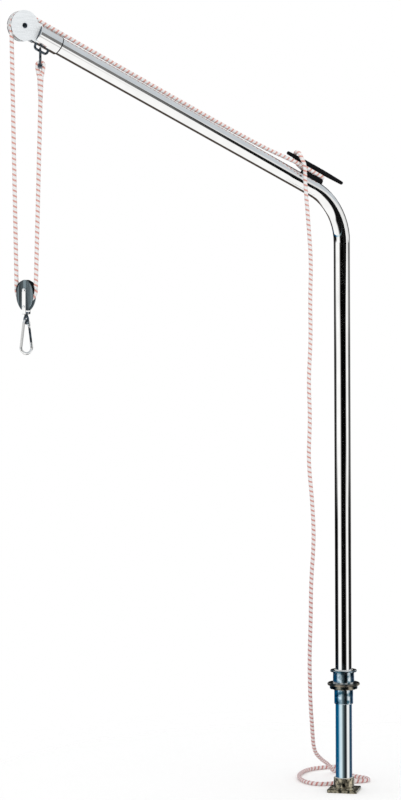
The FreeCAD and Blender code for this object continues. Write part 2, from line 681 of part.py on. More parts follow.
pin_radius = "shackle_pin_diameter / 2"
collar_end = f"({bow_width} / 2 + pin_collar_length)"
pin = turned("shackle_pin", [
    ("0", f"-{bow_width} / 2"),
    (pin_radius, f"-{bow_width} / 2"),
    (pin_radius, f"{bow_width} / 2"),
    ("pin_collar_diameter / 2", f"{bow_width} / 2"),
    ("pin_collar_diameter / 2", collar_end),
    ("0", collar_end),
], "XY_Plane")
tab_place = f"{collar_end} + pin_tab_diameter / 2 - pin_tab_thickness / 2"
tab = draw_circle(new_sketch(pin, "YZ_Plane"), "pin_tab_diameter / 2", tab_place)
draw_circle(tab, "pin_tab_hole / 2", tab_place)
pad(pin, tab, "pin_tab_thickness")
piece(place(pin, x=EYE_BAR["x"], z=PIN_HEIGHT, axis=Z_AXIS, angle="shackle_turn"), "shackle_pin")

# Horn cleat, with its origin on the horns' axis
cleat = new_body("cleat")
tip = "(cleat_length / 2 - horn_tip_length)"
revolve(cleat, draw(new_sketch(cleat, "XZ_Plane"), [
    ("-cleat_length / 2", "0"),
    ("-cleat_length / 2", "horn_tip_diameter / 2 * flat_share"),
    (f"-{tip} - horn_tip_length * 0.7", "horn_tip_diameter / 2 * 0.85", "via"),
    (f"-{tip}", "horn_tip_diameter / 2"),
    ("0", "horn_diameter / 2", "via"),
    (tip, "horn_tip_diameter / 2"),
    (f"{tip} + horn_tip_length * 0.7", "horn_tip_diameter / 2 * 0.85", "via"),
    ("cleat_length / 2", "horn_tip_diameter / 2 * flat_share"),
    ("cleat_length / 2", "0"),
]), "H_Axis")


def stadium(length, width, middle="0"):
    """Rounded slot shape, round at both ends."""
    half = f"({length} - {width}) / 2"
    return [(f"{middle} - {half}", f"-{width} / 2"), (f"{middle} + {half}", f"-{width} / 2"),
            (f"{middle} + {length} / 2", "0", "via"), (f"{middle} + {half}", f"{width} / 2"),
            (f"{middle} - {half}", f"{width} / 2"), (f"{middle} - {length} / 2", "0", "via")]


base_top = "(cleat_base_top - cleat_lift)"
for side in ("-", ""):
    leg = new_sketch(cleat, "XY_Plane", f"{base_top} - cut_overrun")
    draw(leg, stadium("leg_length", "leg_width", f"{side}leg_place"))
    pad(cleat, leg, f"cut_overrun - {base_top}", both_ways=False)
foot = new_sketch(cleat, "XY_Plane", f"{base_top} - cleat_base_height")
pad(cleat, draw(foot, stadium("cleat_base_length", "cleat_base_width")), "cleat_base_height", both_ways=False)
pocket(cleat, draw_circle(new_sketch(cleat, "YZ_Plane"), f"{TUBE_RADIUS} + fit_clearance / 2", "0", "-cleat_lift"),
       "cleat_base_length + cut_overrun")
bores = new_sketch(cleat, "XY_Plane")
seats = new_sketch(cleat, "XY_Plane", "screw_head_lift")
for side in ("-", ""):
    draw_circle(bores, "screw_diameter / 2 + fit_clearance", f"{side}leg_place")
    draw_circle(seats, "screw_head_diameter / 2 + fit_clearance", f"{side}leg_place")
pocket(cleat, bores, "2 * cleat_lift")
pocket(cleat, seats, "horn_diameter", both_ways=False, reverse=True)
piece(on_arm(cleat, CLEAT_DISTANCE, "cleat_lift"), "cleat")

screws = []
for side in ("-", ""):
    screw = turned("cleat_screw", [
        ("0", "-screw_length"),
        ("screw_diameter / 2", "-screw_length"),
        ("screw_diameter / 2", "0"),
        ("screw_head_diameter / 2", "0"),
        ("screw_head_diameter / 2", "screw_head_height * 0.6"),
        ("screw_head_diameter / 2 * 0.8", "screw_head_height * 0.88", "via"),
        ("screw_head_diameter / 2 * flat_share", "screw_head_height"),
        ("0", "screw_head_height"),
    ])
    screws.append(on_arm(screw, f"{CLEAT_DISTANCE} + {side}leg_place", "cleat_lift + screw_head_lift"))
piece(group("cleat_screws", screws), "cleat_screws")

# Tackle block: cheeks, strap, sheave, axle and spacer, turned about the plumb line


def on_block(thing):
    return place(thing, x="-block_across", z="block_height", axis=Z_AXIS, angle="block_turn")


block_root = "(block_pitch_radius - rope_diameter / 2 - seat_clearance)"
block_sheave = turned("block_sheave", [
    ("block_bush_diameter / 2", "block_sheave_width / 2"),
    ("block_sheave_diameter / 2", "block_sheave_width / 2"),
    ("block_sheave_diameter / 2", "block_groove_mouth / 2"),
    (block_root, "0", "via"),
    ("block_sheave_diameter / 2", "-block_groove_mouth / 2"),
    ("block_sheave_diameter / 2", "-block_sheave_width / 2"),
    ("block_bush_diameter / 2", "-block_sheave_width / 2"),
], "XY_Plane")
piece(on_block(block_sheave), "block_sheave")

block_shaft = "(block_axle_diameter / 2)"
piece(on_block(turned("block_sheave_bush", rectangle(
    f"{block_shaft} + running_clearance", "block_bush_diameter / 2 - fit_clearance / 2",
    "-block_sheave_width / 2", "block_sheave_width / 2"), "XY_Plane")), "block_sheave_bush")

# The cheek is an oval of four arcs that touch: two long sides, two round ends
end_place = "(block_cheek_height / 2 - block_cheek_end_radius)"
slack = "(block_cheek_width / 2 - block_cheek_end_radius)"
side_place = f"(({end_place} ^ 2 - {slack} ^ 2) / (2 * {slack}))"
side_radius = f"({side_place} + block_cheek_width / 2)"
touch_x = f"(block_cheek_end_radius * {side_place} / ({side_radius} - block_cheek_end_radius))"
touch_z = f"({side_radius} * {end_place} / ({side_radius} - block_cheek_end_radius))"
for side, name in (("-", "near"), ("", "far")):
    cheek = new_body(f"block_cheek_{name}")
    inner = f"{side}(block_gap / 2)"
    start = inner if side == "-" else f"{inner} + block_cheek_thickness"
    side_sketch = new_sketch(cheek, "XZ_Plane", f"-({start})")
    draw(side_sketch, [
        (f"-{touch_x}", f"{touch_z} - block_cheek_drop"),
        ("0", "block_cheek_height / 2 - block_cheek_drop", "via"),
        (touch_x, f"{touch_z} - block_cheek_drop"),
        ("block_cheek_width / 2", "-block_cheek_drop", "via"),
        (touch_x, f"-{touch_z} - block_cheek_drop"),
        ("0", "-block_cheek_height / 2 - block_cheek_drop", "via"),
        (f"-{touch_x}", f"-{touch_z} - block_cheek_drop"),
        ("-block_cheek_width / 2", "-block_cheek_drop", "via"),
    ])
    draw_circle(side_sketch, f"{block_shaft} + fit_clearance")
    draw_circle(side_sketch, "spacer_rivet_diameter / 2 + fit_clearance", "0", "-spacer_drop")
    pad(cheek, side_sketch, "block_cheek_thickness", both_ways=False)
    outer = value(f"{side}(block_gap / 2 + block_cheek_thickness)")
    near_face_gap = value("block_cheek_thickness / 4")
    biggest_hole = value("2 * block_axle_diameter")
    fillet(cheek, "block_cheek_round", lambda edge: abs(edge.CenterOfMass.y - outer) < near_face_gap
           and edge.BoundBox.DiagonalLength > biggest_hole)
    piece(on_block(cheek), f"block_cheek_{name}")

strap_inside = "(block_gap + 2 * block_cheek_thickness + 2 * fit_clearance)"
strap_outside = f"({strap_inside} + 2 * block_strap_thickness)"
web_top = "(block_strap_thickness - block_strap_drop)"
block_strap = new_body("block_strap")
pad(block_strap, draw(new_sketch(block_strap, "XZ_Plane"), [
    ("-block_strap_width / 2", "-block_strap_drop"),
    ("block_strap_width / 2", "-block_strap_drop"),
    ("block_strap_width / 2", "0"),
    ("0", "block_strap_width / 2", "via"),
    ("-block_strap_width / 2", "0"),
]), strap_outside)
fillet(block_strap, "block_strap_bend", lambda edge: edge.CenterOfMass.z < value("block_strap_thickness / 2 - block_strap_drop")
       and abs(edge.tangentAt(edge.FirstParameter).x) > 0.9)
pocket(block_strap, draw(new_sketch(block_strap, "YZ_Plane"), rectangle(
    f"-{strap_inside} / 2", f"{strap_inside} / 2", web_top, "block_strap_width")),
    "block_strap_width + cut_overrun")
strap_holes = draw_circle(new_sketch(block_strap, "XZ_Plane"), f"{block_shaft} + fit_clearance")
draw_circle(strap_holes, "spacer_rivet_diameter / 2 + fit_clearance", "0", "-spacer_drop")
pocket(block_strap, strap_holes, f"{strap_outside} + cut_overrun")
pocket(block_strap, draw_circle(new_sketch(block_strap, "XY_Plane", "-block_strap_drop"),
                                "swivel_shank / 2 + running_clearance"), "3 * block_strap_thickness")
piece(on_block(block_strap), "block_strap")


def rivet(label, radius, head, height):
    """A rivet across the strap, with a low head at both ends."""
    end = f"({strap_outside} / 2)"
    top = f"({end} + {height})"
    return turned(label, [
        ("0", f"-{top}"),
        (f"({head}) * flat_share", f"-{top}"),
        (f"({head}) * 0.8", f"-{end} - {height} * 0.6", "via"),
        (head, f"-{end}"),
        (radius, f"-{end}"),
        (radius, end),
        (head, end),
        (f"({head}) * 0.8", f"{end} + {height} * 0.6", "via"),
        (f"({head}) * flat_share", top),
        ("0", top),
    ], "XY_Plane")


piece(on_block(rivet("block_axle", block_shaft, "rivet_head_diameter / 2 + block_strap_thickness / 2",
                     "rivet_head_height")), "block_axle")
SPACER = {"x": "-block_across", "z": "block_height - spacer_drop", "axis": Z_AXIS, "angle": "block_turn"}
spacer_shaft = "spacer_rivet_diameter / 2"
piece(place(rivet("block_rivet", spacer_shaft, "spacer_rivet_head / 2", "spacer_rivet_head_height"), **SPACER),
      "block_rivet")
piece(place(turned("block_spacer", rectangle(
    f"{spacer_shaft} + fit_clearance", "spacer_diameter / 2", "-block_gap / 2", "block_gap / 2"), "XY_Plane"),
    **SPACER), "block_spacer")

# Swivel under the strap: eye, shank and nut
EYE_HEIGHT = "(block_height - swivel_drop)"
WEB_FOOT = "(block_height - block_strap_drop)"
eye_ring = doc.addObject("Part::Torus", "eye_ring")
tie(eye_ring, "Radius1", "swivel_eye_radius")
tie(eye_ring, "Radius2", "swivel_rod / 2")
place(eye_ring, x="-block_across", z=EYE_HEIGHT, axis=Y_AXIS, angle="90")
shank_foot = "(block_height - swivel_drop + swivel_eye_radius)"
nut_seat = f"({WEB_FOOT} + block_strap_thickness + seat_clearance)"
shank = cylinder("swivel_shank_rod", "swivel_shank / 2", f"{nut_seat} + swivel_nut_height - {shank_foot}")
place(shank, x="-block_across", z=shank_foot)
collar = cylinder("swivel_collar_disc", "swivel_collar / 2", f"{WEB_FOOT} - seat_clearance - {shank_foot}")
place(collar, x="-block_across", z=shank_foot)
piece(joined("swivel_eye", [eye_ring, shank, collar]), "swivel_eye")

swivel_nut = new_body("swivel_nut")
swivel_sketch = draw(new_sketch(swivel_nut, "XY_Plane"), hexagon("swivel_nut_flats"))
draw_circle(swivel_sketch, "swivel_shank / 2 + fit_clearance / 2")
pad(swivel_nut, swivel_sketch, "swivel_nut_height", both_ways=False)
piece(place(swivel_nut, x="-block_across", z=nut_seat), "swivel_nut")

# Snap hook: pear-shaped wire, hinge tongue, sprung gate
bar_drop = "(swivel_drop + swivel_eye_radius)"
HOOK = {"x": "-block_across", "z": f"block_height - {bar_drop}"}
top_centre = "(swivel_rod / 2 + seat_clearance - hook_top_radius + hook_wire / 2)"
bow_centre = f"({top_centre} - hook_spacing)"
lean = "asin((hook_bow_radius - hook_top_radius) / hook_spacing)"
top_x = f"(hook_top_radius * cos({lean}))"
top_z = f"({top_centre} + hook_top_radius * sin({lean}))"
bow_x = f"(hook_bow_radius * cos({lean}))"
bow_z = f"({bow_centre} + hook_bow_radius * sin({lean}))"


def on_leg(share):
    """Point on the gate's leg, as a share of the way from the small end to the big end."""
    return (f"({top_x} + ({bow_x} - {top_x}) * ({share}))", f"({top_z} + ({bow_z} - {top_z}) * ({share}))")


leg_run = f"(({top_z} - {bow_z}) / cos({lean}))"
hinge_share = f"(gate_start_share + (gate_diameter / 2 + gate_gap) / {leg_run})"
hinge_x, hinge_z = on_leg(hinge_share)
HINGE = {"x": f"-block_across + {hinge_x}", "z": f"{HOOK['z']} + {hinge_z}", "axis": Y_AXIS, "angle": f"-{lean}"}
hook_wire = new_body("hook_wire_form")
bent_rod(hook_wire, "XZ_Plane", [
    on_leg("gate_end_share"),
    (bow_x, bow_z),
    ("0", f"{bow_centre} - hook_bow_radius", "via"),
    (f"-{bow_x}", bow_z),
    (f"-{top_x}", top_z),
    ("0", f"{top_centre} + hook_top_radius", "via"),
    (top_x, top_z),
    on_leg("gate_start_share"),
], "hook_wire / 2")
place(hook_wire, **HOOK)
tongue = new_body("hook_tongue")
pad(tongue, draw(new_sketch(tongue, "XZ_Plane"), [
    ("-tongue_width / 2", "0"),
    ("0", "-tongue_width / 2", "via"),
    ("tongue_width / 2", "0"),
    ("tongue_width / 2", "gate_diameter"),
    ("-tongue_width / 2", "gate_diameter"),
]), "tongue_thickness")
pin_bore = "(gate_pin_diameter / 2 + running_clearance)"
pocket(tongue, draw_circle(new_sketch(tongue, "XZ_Plane"), "gate_pin_diameter / 2 + fit_clearance / 2"),
       "2 * tongue_thickness")
place(tongue, **HINGE)
piece(joined("snap_hook", [hook_wire, tongue]), "snap_hook")

gate_length = f"({leg_run} * (gate_end_share - {hinge_share}) - gate_gap)"
gate = new_body("hook_gate")
revolve(gate, draw(new_sketch(gate, "XZ_Plane"), [
    ("0", f"-{gate_length}"),
    ("gate_diameter / 2", f"-{gate_length}"),
    ("gate_diameter / 2", "0"),
    ("gate_diameter / 2 * sqrt(0.5)", "gate_diameter / 2 * sqrt(0.5)", "via"),
    ("0", "gate_diameter / 2"),
]), "V_Axis")
pocket(gate, draw(new_sketch(gate, "YZ_Plane"), rectangle(
    "-gate_slot / 2", "gate_slot / 2", "-gate_slot_depth", "gate_diameter")), "2 * gate_diameter")
pocket(gate, draw_circle(new_sketch(gate, "XZ_Plane"), pin_bore), "2 * gate_diameter")
pocket(gate, draw_circle(new_sketch(gate, "XY_Plane", "-gate_slot_depth"), "gate_spring_diameter / 2 + fit_clearance"),
       "gate_spring_length", both_ways=False)
piece(place(gate, **HINGE), "hook_gate")

gate_pin = new_body("gate_pin")
pad(gate_pin, draw_circle(new_sketch(gate_pin, "XZ_Plane"), "gate_pin_diameter / 2"), "gate_diameter")
piece(place(gate_pin, **HINGE), "gate_pin")

gate_spring = turned("gate_spring", rectangle(
    "gate_spring_diameter / 2 - gate_spring_wire", "gate_spring_diameter / 2",
    "-gate_slot_depth - gate_spring_length", "-gate_slot_depth"))
piece(place(gate_spring, **HINGE), "gate_spring")

# Rope: straight runs joined by tangent arcs, swept as round tubes
ROPE = value("rope_diameter")
FALL_GAP = value("seat_clearance") + value("fit_clearance")


def rounded(points, tight=None):
    """Edges of a route. Each corner's arc is as large as its two runs allow, unless tight gives its radius."""
    tight = tight or {}
    edges = []
    radii = []
    here = points[0]
    for i in range(1, len(points) - 1):
        back = points[i - 1] - points[i]
        ahead = points[i + 1] - points[i]
        half = (math.pi - back.getAngle(ahead)) / 2
        radius = tight.get(i, 0.45 * min(back.Length, ahead.Length) / math.tan(half))
        reach = radius * math.tan(half)
        back.normalize()
        ahead.normalize()
        enter = points[i] + back * reach
        leave = points[i] + ahead * reach
        inward = back + ahead
        inward.normalize()
        middle = points[i] + inward * (radius / math.cos(half) - radius)
        edges.append(Part.LineSegment(here, enter).toShape())
        edges.append(Part.Arc(enter, middle, leave).toShape())
        radii.append(round(radius))
        here = leave
    edges.append(Part.LineSegment(here, points[-1]).toShape())
    return edges, radii


def rope(label, edges, diameter=None):
    """Sweep the rope's section along edges, and compare its volume with section times length."""
    radius = (diameter or ROPE) / 2
    path = Part.Wire(edges)
    start = path.OrderedEdges[0]
    section = Part.Wire(Part.makeCircle(radius, start.valueAt(start.FirstParameter),
                                        start.tangentAt(start.FirstParameter)))
    solid = path.makePipeShell([section], True, False)
    share = solid.Volume / (math.pi * radius ** 2 * path.Length)
    print(f"{label}: {path.Length:.0f} mm long, volume {share:.3f} of section times length")
    thing = doc.addObject("Part::Feature", label)
    thing.Shape = solid
    return piece(thing, label)


def point(x, y, z):
    return Vector(value(x), value(y), value(z))


HEAD = point("-reach", "0", HEAD_HEIGHT)
DOWN_ARM = Vector(math.cos(math.radians(value("arm_rise"))), 0, -math.sin(math.radians(value("arm_rise"))))
UP_ARM = Vector(-DOWN_ARM.z, 0, DOWN_ARM.x)
CLEAT = HEAD + DOWN_ARM * value(CLEAT_DISTANCE)


def by_cleat(along, side, lift):
    """Point by the cleat: along the arm towards the mast, to one side, and up from the arm's axis."""
    return CLEAT + DOWN_ARM * along + Vector(0, side, 0) + UP_ARM * lift


# Run along the arm: up from the head's mouth, over the sheave, down to the cleat's near side
pitch = value("head_pitch_radius")
strand_lift = value("cleat_base_top") + ROPE * 0.65
strand_side = value("leg_width") / 2 + ROPE * 0.56
mouth_distance = (value("strap_drop * sin(arm_rise)") - pitch) / DOWN_ARM.x
MOUTH = HEAD + DOWN_ARM * mouth_distance - UP_ARM * value("strap_drop")
left = HEAD - Vector(pitch, 0, 0)
over = HEAD + (UP_ARM - Vector(1, 0, 0)).normalize() * pitch
top = HEAD + UP_ARM * pitch
cleat_entry = by_cleat(-value("cleat_length") * 0.38, -strand_side, strand_lift)
turns_start = by_cleat(-value("cleat_length") * 0.3, -strand_side, strand_lift)
on_tube = by_cleat(-value("cleat_length") * 1.05, -ROPE * 0.2, value(TUBE_RADIUS) + ROPE * 0.58)
run, radii = rounded([top, top + DOWN_ARM * 2 * pitch, on_tube, cleat_entry, turns_start])
print("arm run radii", radii)
rope("rope_arm_run", [Part.LineSegment(MOUTH, left).toShape(), Part.Arc(left, over, top).toShape()] + run)

# Turns on the cleat: near side, round the lower leg, far side, over the upper horn, down
leg_end = value("leg_place + leg_length / 2") + ROPE * 0.56
horn_over = value("cleat_lift + horn_diameter / 2") + ROPE * 0.5
tail_side = -strand_side - ROPE * 1.5
turns = [
    turns_start,
    by_cleat(leg_end, -strand_side, strand_lift),
    by_cleat(leg_end, strand_side, strand_lift),
    by_cleat(-leg_end * 1.15, strand_side, strand_lift),
    by_cleat(-leg_end * 1.7, strand_side + ROPE * 0.1, strand_lift + ROPE),
    by_cleat(-leg_end * 1.95, strand_side - ROPE * 0.1, horn_over + ROPE * 0.1),
    by_cleat(-leg_end * 2.02, -strand_side, horn_over + ROPE * 0.1),
    by_cleat(-leg_end * 1.88, tail_side + ROPE * 0.4, strand_lift + ROPE * 1.3),
    by_cleat(-leg_end * 1.64, tail_side, strand_lift),
]
plumb = strand_lift * 0.57 / DOWN_ARM.x
turns.append(turns[-1] - Z_AXIS * plumb)
edges, radii = rounded(turns)
print("cleat turns radii", radii)
rope("rope_cleat_turns", edges)
turn_points = []
for edge in edges:
    turn_points += edge.discretize(Distance=2)
nearest = min(a.distanceToPoint(b) for i, a in enumerate(turn_points) for b in turn_points[i + 20:])
print(f"cleat turns: least gap to itself {nearest - ROPE:.2f} mm")

# Tail: hangs from the cleat, swings back past the mast and lies on the floor in one loose loop
TAIL = [
    (-121, -27, 1450), (-112, -26, 1350), (-114, -23, 1250), (-110, -20, 1150),
    (-115, -16, 1050), (-106, -10, 948), (-108, -3, 848), (-91, 5, 745), (-80, 13, 642),
    (-84, 22, 540), (-78, 33, 436), (-74, 46, 334), (-57, 68, 228), (-34, 94, 150),
    (-2, 128, 86), (38, 166, 40), (78, 203, 13), (98, 214, 5.1), (119, 207, 5.1),
    (130, 188, 5.1), (121, 159, 5.1), (113, 132, 5.1), (120, 106, 5.1), (127, 82, 5.1), (121, 60, 5.1),
    (102, 52, 5.1), (79, 59, 5.1), (54, 70, 5.1), (16, 69, 5.1), (-31, 84, 5.1), (-45, 133, 5.1),
    (-20, 200, 5.1), (30, 249, 5.1), (86, 270, 5.1), (136, 272, 5.1),
]
tail_points = [turns[-1], turns[-1] - Z_AXIS * plumb] + [Vector(*spot) for spot in TAIL]
edges, radii = rounded(tail_points)
print("tail radii", radii)
rope("rope_tail", edges)

# Sealed end of the rope
tail_end = tail_points[-1]
tail_way = (tail_end - tail_points[-2]).normalize()
whipping = doc.addObject("Part::Feature", "rope_end_whipping")
whipping.Shape = Part.makeCylinder(ROPE / 2, value("whipping_length"), tail_end, tail_way)
piece(whipping, "rope_end_whipping")

# Eye splice round the shackle pin, with its taper
PIN = point(EYE_BAR["x"], "0", PIN_HEIGHT)
eye_radius = value("shackle_pin_diameter") / 2 + ROPE / 2 + value("seat_clearance")
throat = PIN - Z_AXIS * value("throat_drop")
lean_angle = math.asin(eye_radius / value("throat_drop"))
shackle_angle = math.radians(value("shackle_turn"))
eye_side = Vector(math.cos(shackle_angle), math.sin(shackle_angle), 0)
out = (eye_side * math.cos(lean_angle) - Z_AXIS * math.sin(lean_angle)) * eye_radius
mirror = Vector(-out.x, -out.y, out.z)
eye_path = Part.Wire([
    Part.LineSegment(throat, PIN + mirror).toShape(),
    Part.Arc(PIN + mirror, PIN + Z_AXIS * eye_radius, PIN + out).toShape(),
])
right_path = Part.Wire([Part.LineSegment(throat, PIN + out).toShape()])
halves = []
for path in (eye_path, right_path):
    first = path.OrderedEdges[0]
    ring = Part.Wire(Part.makeCircle(ROPE / 2, throat, first.tangentAt(first.FirstParameter)))
    halves.append(path.makePipeShell([ring], True, False))
splice_top = PIN - Z_AXIS * (value("throat_drop") * 0.7)
splice_end = PIN - Z_AXIS * value("splice_drop")
taper_solid = Part.makeCone(value("splice_diameter") / 2, ROPE / 2, splice_top.z - splice_end.z,
                            splice_top, Vector(0, 0, -1))
eye = doc.addObject("Part::Feature", "rope_eye_splice")
eye.Shape = halves[0].fuse([halves[1], taper_solid]).removeSplitter()
piece(eye, "rope_eye_splice")

# Two falls and the turn under the block's sheave
BLOCK = point("-block_across", "0", "block_height")
turn_angle = math.radians(value("block_turn"))
across = Vector(math.cos(turn_angle), math.sin(turn_angle), 0) * value("block_pitch_radius")
under = BLOCK - Z_AXIS * value("block_pitch_radius")
rope("rope_block_wrap", [Part.Arc(BLOCK - across, under, BLOCK + across).toShape()])


def fall(label, upper, lower):
    """A straight fall with a small gap at both ends, where it meets rope that moves otherwise."""
    way = (lower - upper).normalize() * FALL_GAP
    rope(label, [Part.LineSegment(upper + way, lower - way).toShape()])


fall("rope_hauling_fall", MOUTH, BLOCK - across)
fall("rope_dead_end_fall", splice_end, BLOCK + across)

# Checks, then one file for each sub-part
doc.recompute()
faults = [thing.Label for thing in doc.Objects if {"Invalid", "Error"} & set(thing.State)]
for thing in pieces:
    shape = thing.Shape
    if shape.isNull() or not shape.isValid() or not shape.Solids:
        faults.append(thing.Label + " shape")
if faults:
    raise RuntimeError("failed: " + ", ".join(faults))
os.makedirs("parts", exist_ok=True)
for thing in pieces:
    thing.Shape.exportStep(f"parts/{thing.Label}.step")
print(len(pieces), "sub-parts written")
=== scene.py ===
# %% [markdown]
# A davit crane lifts loads over a rail: a bent tube turns in two bushes and carries a rope, a block and
# a hook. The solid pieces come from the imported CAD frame. This script adds the rope, the finishes, the
# light and the camera. Lengths are in metres in the part's own frame: origin under the foot plate, +Z up,
# the arm along -X.

# %% Load the frame
import bpy
import json
import math
from mathutils import Matrix, Vector


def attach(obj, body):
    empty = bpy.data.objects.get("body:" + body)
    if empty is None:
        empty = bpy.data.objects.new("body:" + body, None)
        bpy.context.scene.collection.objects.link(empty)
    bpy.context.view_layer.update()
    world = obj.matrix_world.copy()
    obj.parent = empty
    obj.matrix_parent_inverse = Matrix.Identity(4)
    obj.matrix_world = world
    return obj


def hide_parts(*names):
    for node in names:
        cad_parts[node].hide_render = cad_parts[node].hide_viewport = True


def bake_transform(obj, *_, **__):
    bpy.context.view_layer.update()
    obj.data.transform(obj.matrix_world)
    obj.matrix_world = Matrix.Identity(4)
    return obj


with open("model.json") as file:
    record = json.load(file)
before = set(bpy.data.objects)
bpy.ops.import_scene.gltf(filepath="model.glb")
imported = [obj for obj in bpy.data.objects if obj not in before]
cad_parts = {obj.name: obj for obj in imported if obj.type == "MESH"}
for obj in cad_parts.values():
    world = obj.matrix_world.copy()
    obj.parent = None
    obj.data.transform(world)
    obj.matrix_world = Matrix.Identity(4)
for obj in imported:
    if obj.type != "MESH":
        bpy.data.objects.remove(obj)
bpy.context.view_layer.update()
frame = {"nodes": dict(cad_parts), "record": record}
nodes = frame["nodes"]


def rounded(values):
    return [round(v, 3) for v in values]


# %% [markdown]
# The photo was taken from far off with a long lens, so upright things stay upright. A camera could be
# tilted to frame the crane, but that would lean its mast. A level camera with its picture shifted keeps it
# plumb. Its place was worked out from the mast, the slope of the arm and the ellipses of the deck rings.

# %% Camera
X_AXIS = Vector((1, 0, 0))
Z_AXIS = Vector((0, 0, 1))
VIEW_WAY = Vector((0.5225, 0.8526, 0))
VIEW_RIGHT = VIEW_WAY.cross(Z_AXIS)
CAMERA_PLACE = (-3.708, -5.351, 1.300)
CAMERA_ROLL = math.radians(-0.235)


def new_object(name, data):
    thing = bpy.data.objects.new(name, data)
    bpy.context.scene.collection.objects.link(thing)
    return thing


camera_data = bpy.data.cameras.new("photo_camera")
camera_data.lens = 114.7
camera_data.sensor_width = 36
camera_data.shift_x = 0.00235
camera_data.shift_y = -0.1485
camera_data.clip_start = 0.1
camera_data.clip_end = 100
camera = new_object("photo_camera", camera_data)
camera.rotation_mode = "QUATERNION"
level = VIEW_WAY.to_track_quat("-Z", "Y")
roll = Matrix.Rotation(CAMERA_ROLL, 4, "Z").to_quaternion()
camera.rotation_quaternion = level @ roll
camera.location = CAMERA_PLACE
bpy.context.scene.camera = camera
print("camera lens", camera_data.lens)

# %% [markdown]
# The rope is a 10 mm braid. Its route is a short list of corners, most of them the same as in the CAD
# source. Straight runs with rounded corners would look stiff, so the corners are the control points of a
# NURBS spline, which rounds them all by itself, as a limp rope does. Blender turns a curve without a bevel
# into plain points, and those are the rope's centre line.

# %% Centre line of a rope
ROPE = 0.010
STEPS_PER_RUN = 12


def centre_line(name, corners, steps=STEPS_PER_RUN):
    """Points along the smooth spline that these corners pull."""
    curve = bpy.data.curves.new(name + "_line", "CURVE")
    curve.dimensions = "3D"
    curve.resolution_u = steps
    spline = curve.splines.new("NURBS")
    spline.points.add(len(corners) - 1)
    for target, place in zip(spline.points, corners):
        target.co = (*place, 1)
    spline.order_u = 3
    spline.use_endpoint_u = True
    holder = new_object(name + "_line", curve)
    bpy.context.view_layer.update()
    drawn = bpy.data.meshes.new_from_object(holder)
    line = [v.co.copy() for v in drawn.vertices]
    bpy.data.objects.remove(holder)
    bpy.data.meshes.remove(drawn)
    return line


def run_length(line):
    return sum((b - a).length for a, b in zip(line, line[1:]))


print("rope diameter", ROPE, "m")

# %% [markdown]
# A bevelled curve would be the quickest tube. A mesh tube is used because its UV can hold real lengths, so
# that the flecks of the weave keep their size on every stretch. Each ring is turned as little as possible
# against the one before, so the weave doesn't twist in the bends.

# %% Tube along a line
ROPE_SIDES = 14


def rings(line):
    """Place, two ways across and the length so far, at each point of a line."""
    steps = [b - a for a, b in zip(line, line[1:])]
    middle_ways = [a.normalized() + b.normalized() for a, b in zip(steps, steps[1:])]
    ways = [steps[0]] + middle_ways + [steps[-1]]
    side = steps[0].orthogonal()
    travelled = 0.0
    for i, place in enumerate(line):
        way = ways[i].normalized()
        side = (side - way * side.dot(way)).normalized()
        yield place, side, way.cross(side), travelled
        travelled += steps[i].length if i < len(steps) else 0.0


def tube(name, line, radii, sides=ROPE_SIDES):
    """A closed mesh tube. UV x is the length along it in metres, UV y the share of the way round."""
    verts, lengths, faces, uvs = [], [], [], []
    for (place, side, other, travelled), radius in zip(rings(line), radii):
        lengths.append(travelled)
        for k in range(sides):
            angle = 2 * math.pi * k / sides
            verts.append(place + (side * math.cos(angle) + other * math.sin(angle)) * radius)
    for i in range(len(line) - 1):
        for k in range(sides):
            n = (k + 1) % sides
            faces.append((i * sides + k, i * sides + n, (i + 1) * sides + n, (i + 1) * sides + k))
            near, far = lengths[i], lengths[i + 1]
            first, second = k / sides, (k + 1) / sides
            uvs += [(near, first), (near, second), (far, second), (far, first)]
    last = (len(line) - 1) * sides
    faces += [tuple(reversed(range(sides))), tuple(range(last, last + sides))]
    uvs += [(lengths[0], k / sides) for k in reversed(range(sides))]
    uvs += [(lengths[-1], k / sides) for k in range(sides)]
    mesh = bpy.data.meshes.new(name)
    mesh.from_pydata([tuple(v) for v in verts], [], faces)
    layer = mesh.uv_layers.new(name="rope")
    for loop, uv in zip(layer.data, uvs):
        loop.uv = uv
    mesh.polygons.foreach_set("use_smooth", [len(p.vertices) == 4 for p in mesh.polygons])
    return new_object(name, mesh)


print("rope tubes have", ROPE_SIDES, "sides")

# %% [markdown]
# The rope could be one long tube, but its stretches move with different bodies, so each is a piece of its
# own. All but the splice stand for a CAD node, which is only a plain tube. A stretch that rides with one
# body is tied to it here. The two falls between head and block stretch, and they are tied to no body.

# %% Rope pieces
ropes = []


def rope_piece(name, line, node=None, body=None, radii=None):
    """A stretch of rope, with the CAD node that it stands for and the body that it rides on."""
    thing = tube(name, line, radii or [ROPE / 2] * len(line))
    if node:
        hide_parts(node)
    if body:
        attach(thing, body)
    ropes.append(thing)
    print(name, round(run_length(line), 3), "m")
    return thing


# %% [markdown]
# On the arm the rope comes up through the head's mouth, goes over the sheave and runs down to the cleat.
# An exact arc could lie on the sheave, but a spline is smooth where the rope leaves the wheel too. It
# follows a wheel closely when its corners stand just outside, because it touches the middle of each run
# between them. The same helper serves the head, the spliced eye and the block.

# %% Rope over the head
RISE = math.radians(24.25)
ACROSS_ARM = Vector((0, 1, 0))
DOWN_ARM = Vector((math.cos(RISE), 0, -math.sin(RISE)))
UP_ARM = Vector((math.sin(RISE), 0, math.cos(RISE)))
CORNER_HEIGHT = 1.4938
REACH = 0.913
HEAD = Vector((-REACH, 0, CORNER_HEIGHT + REACH * math.tan(RISE)))
PITCH = 0.030
MOUTH_DROP = 0.034


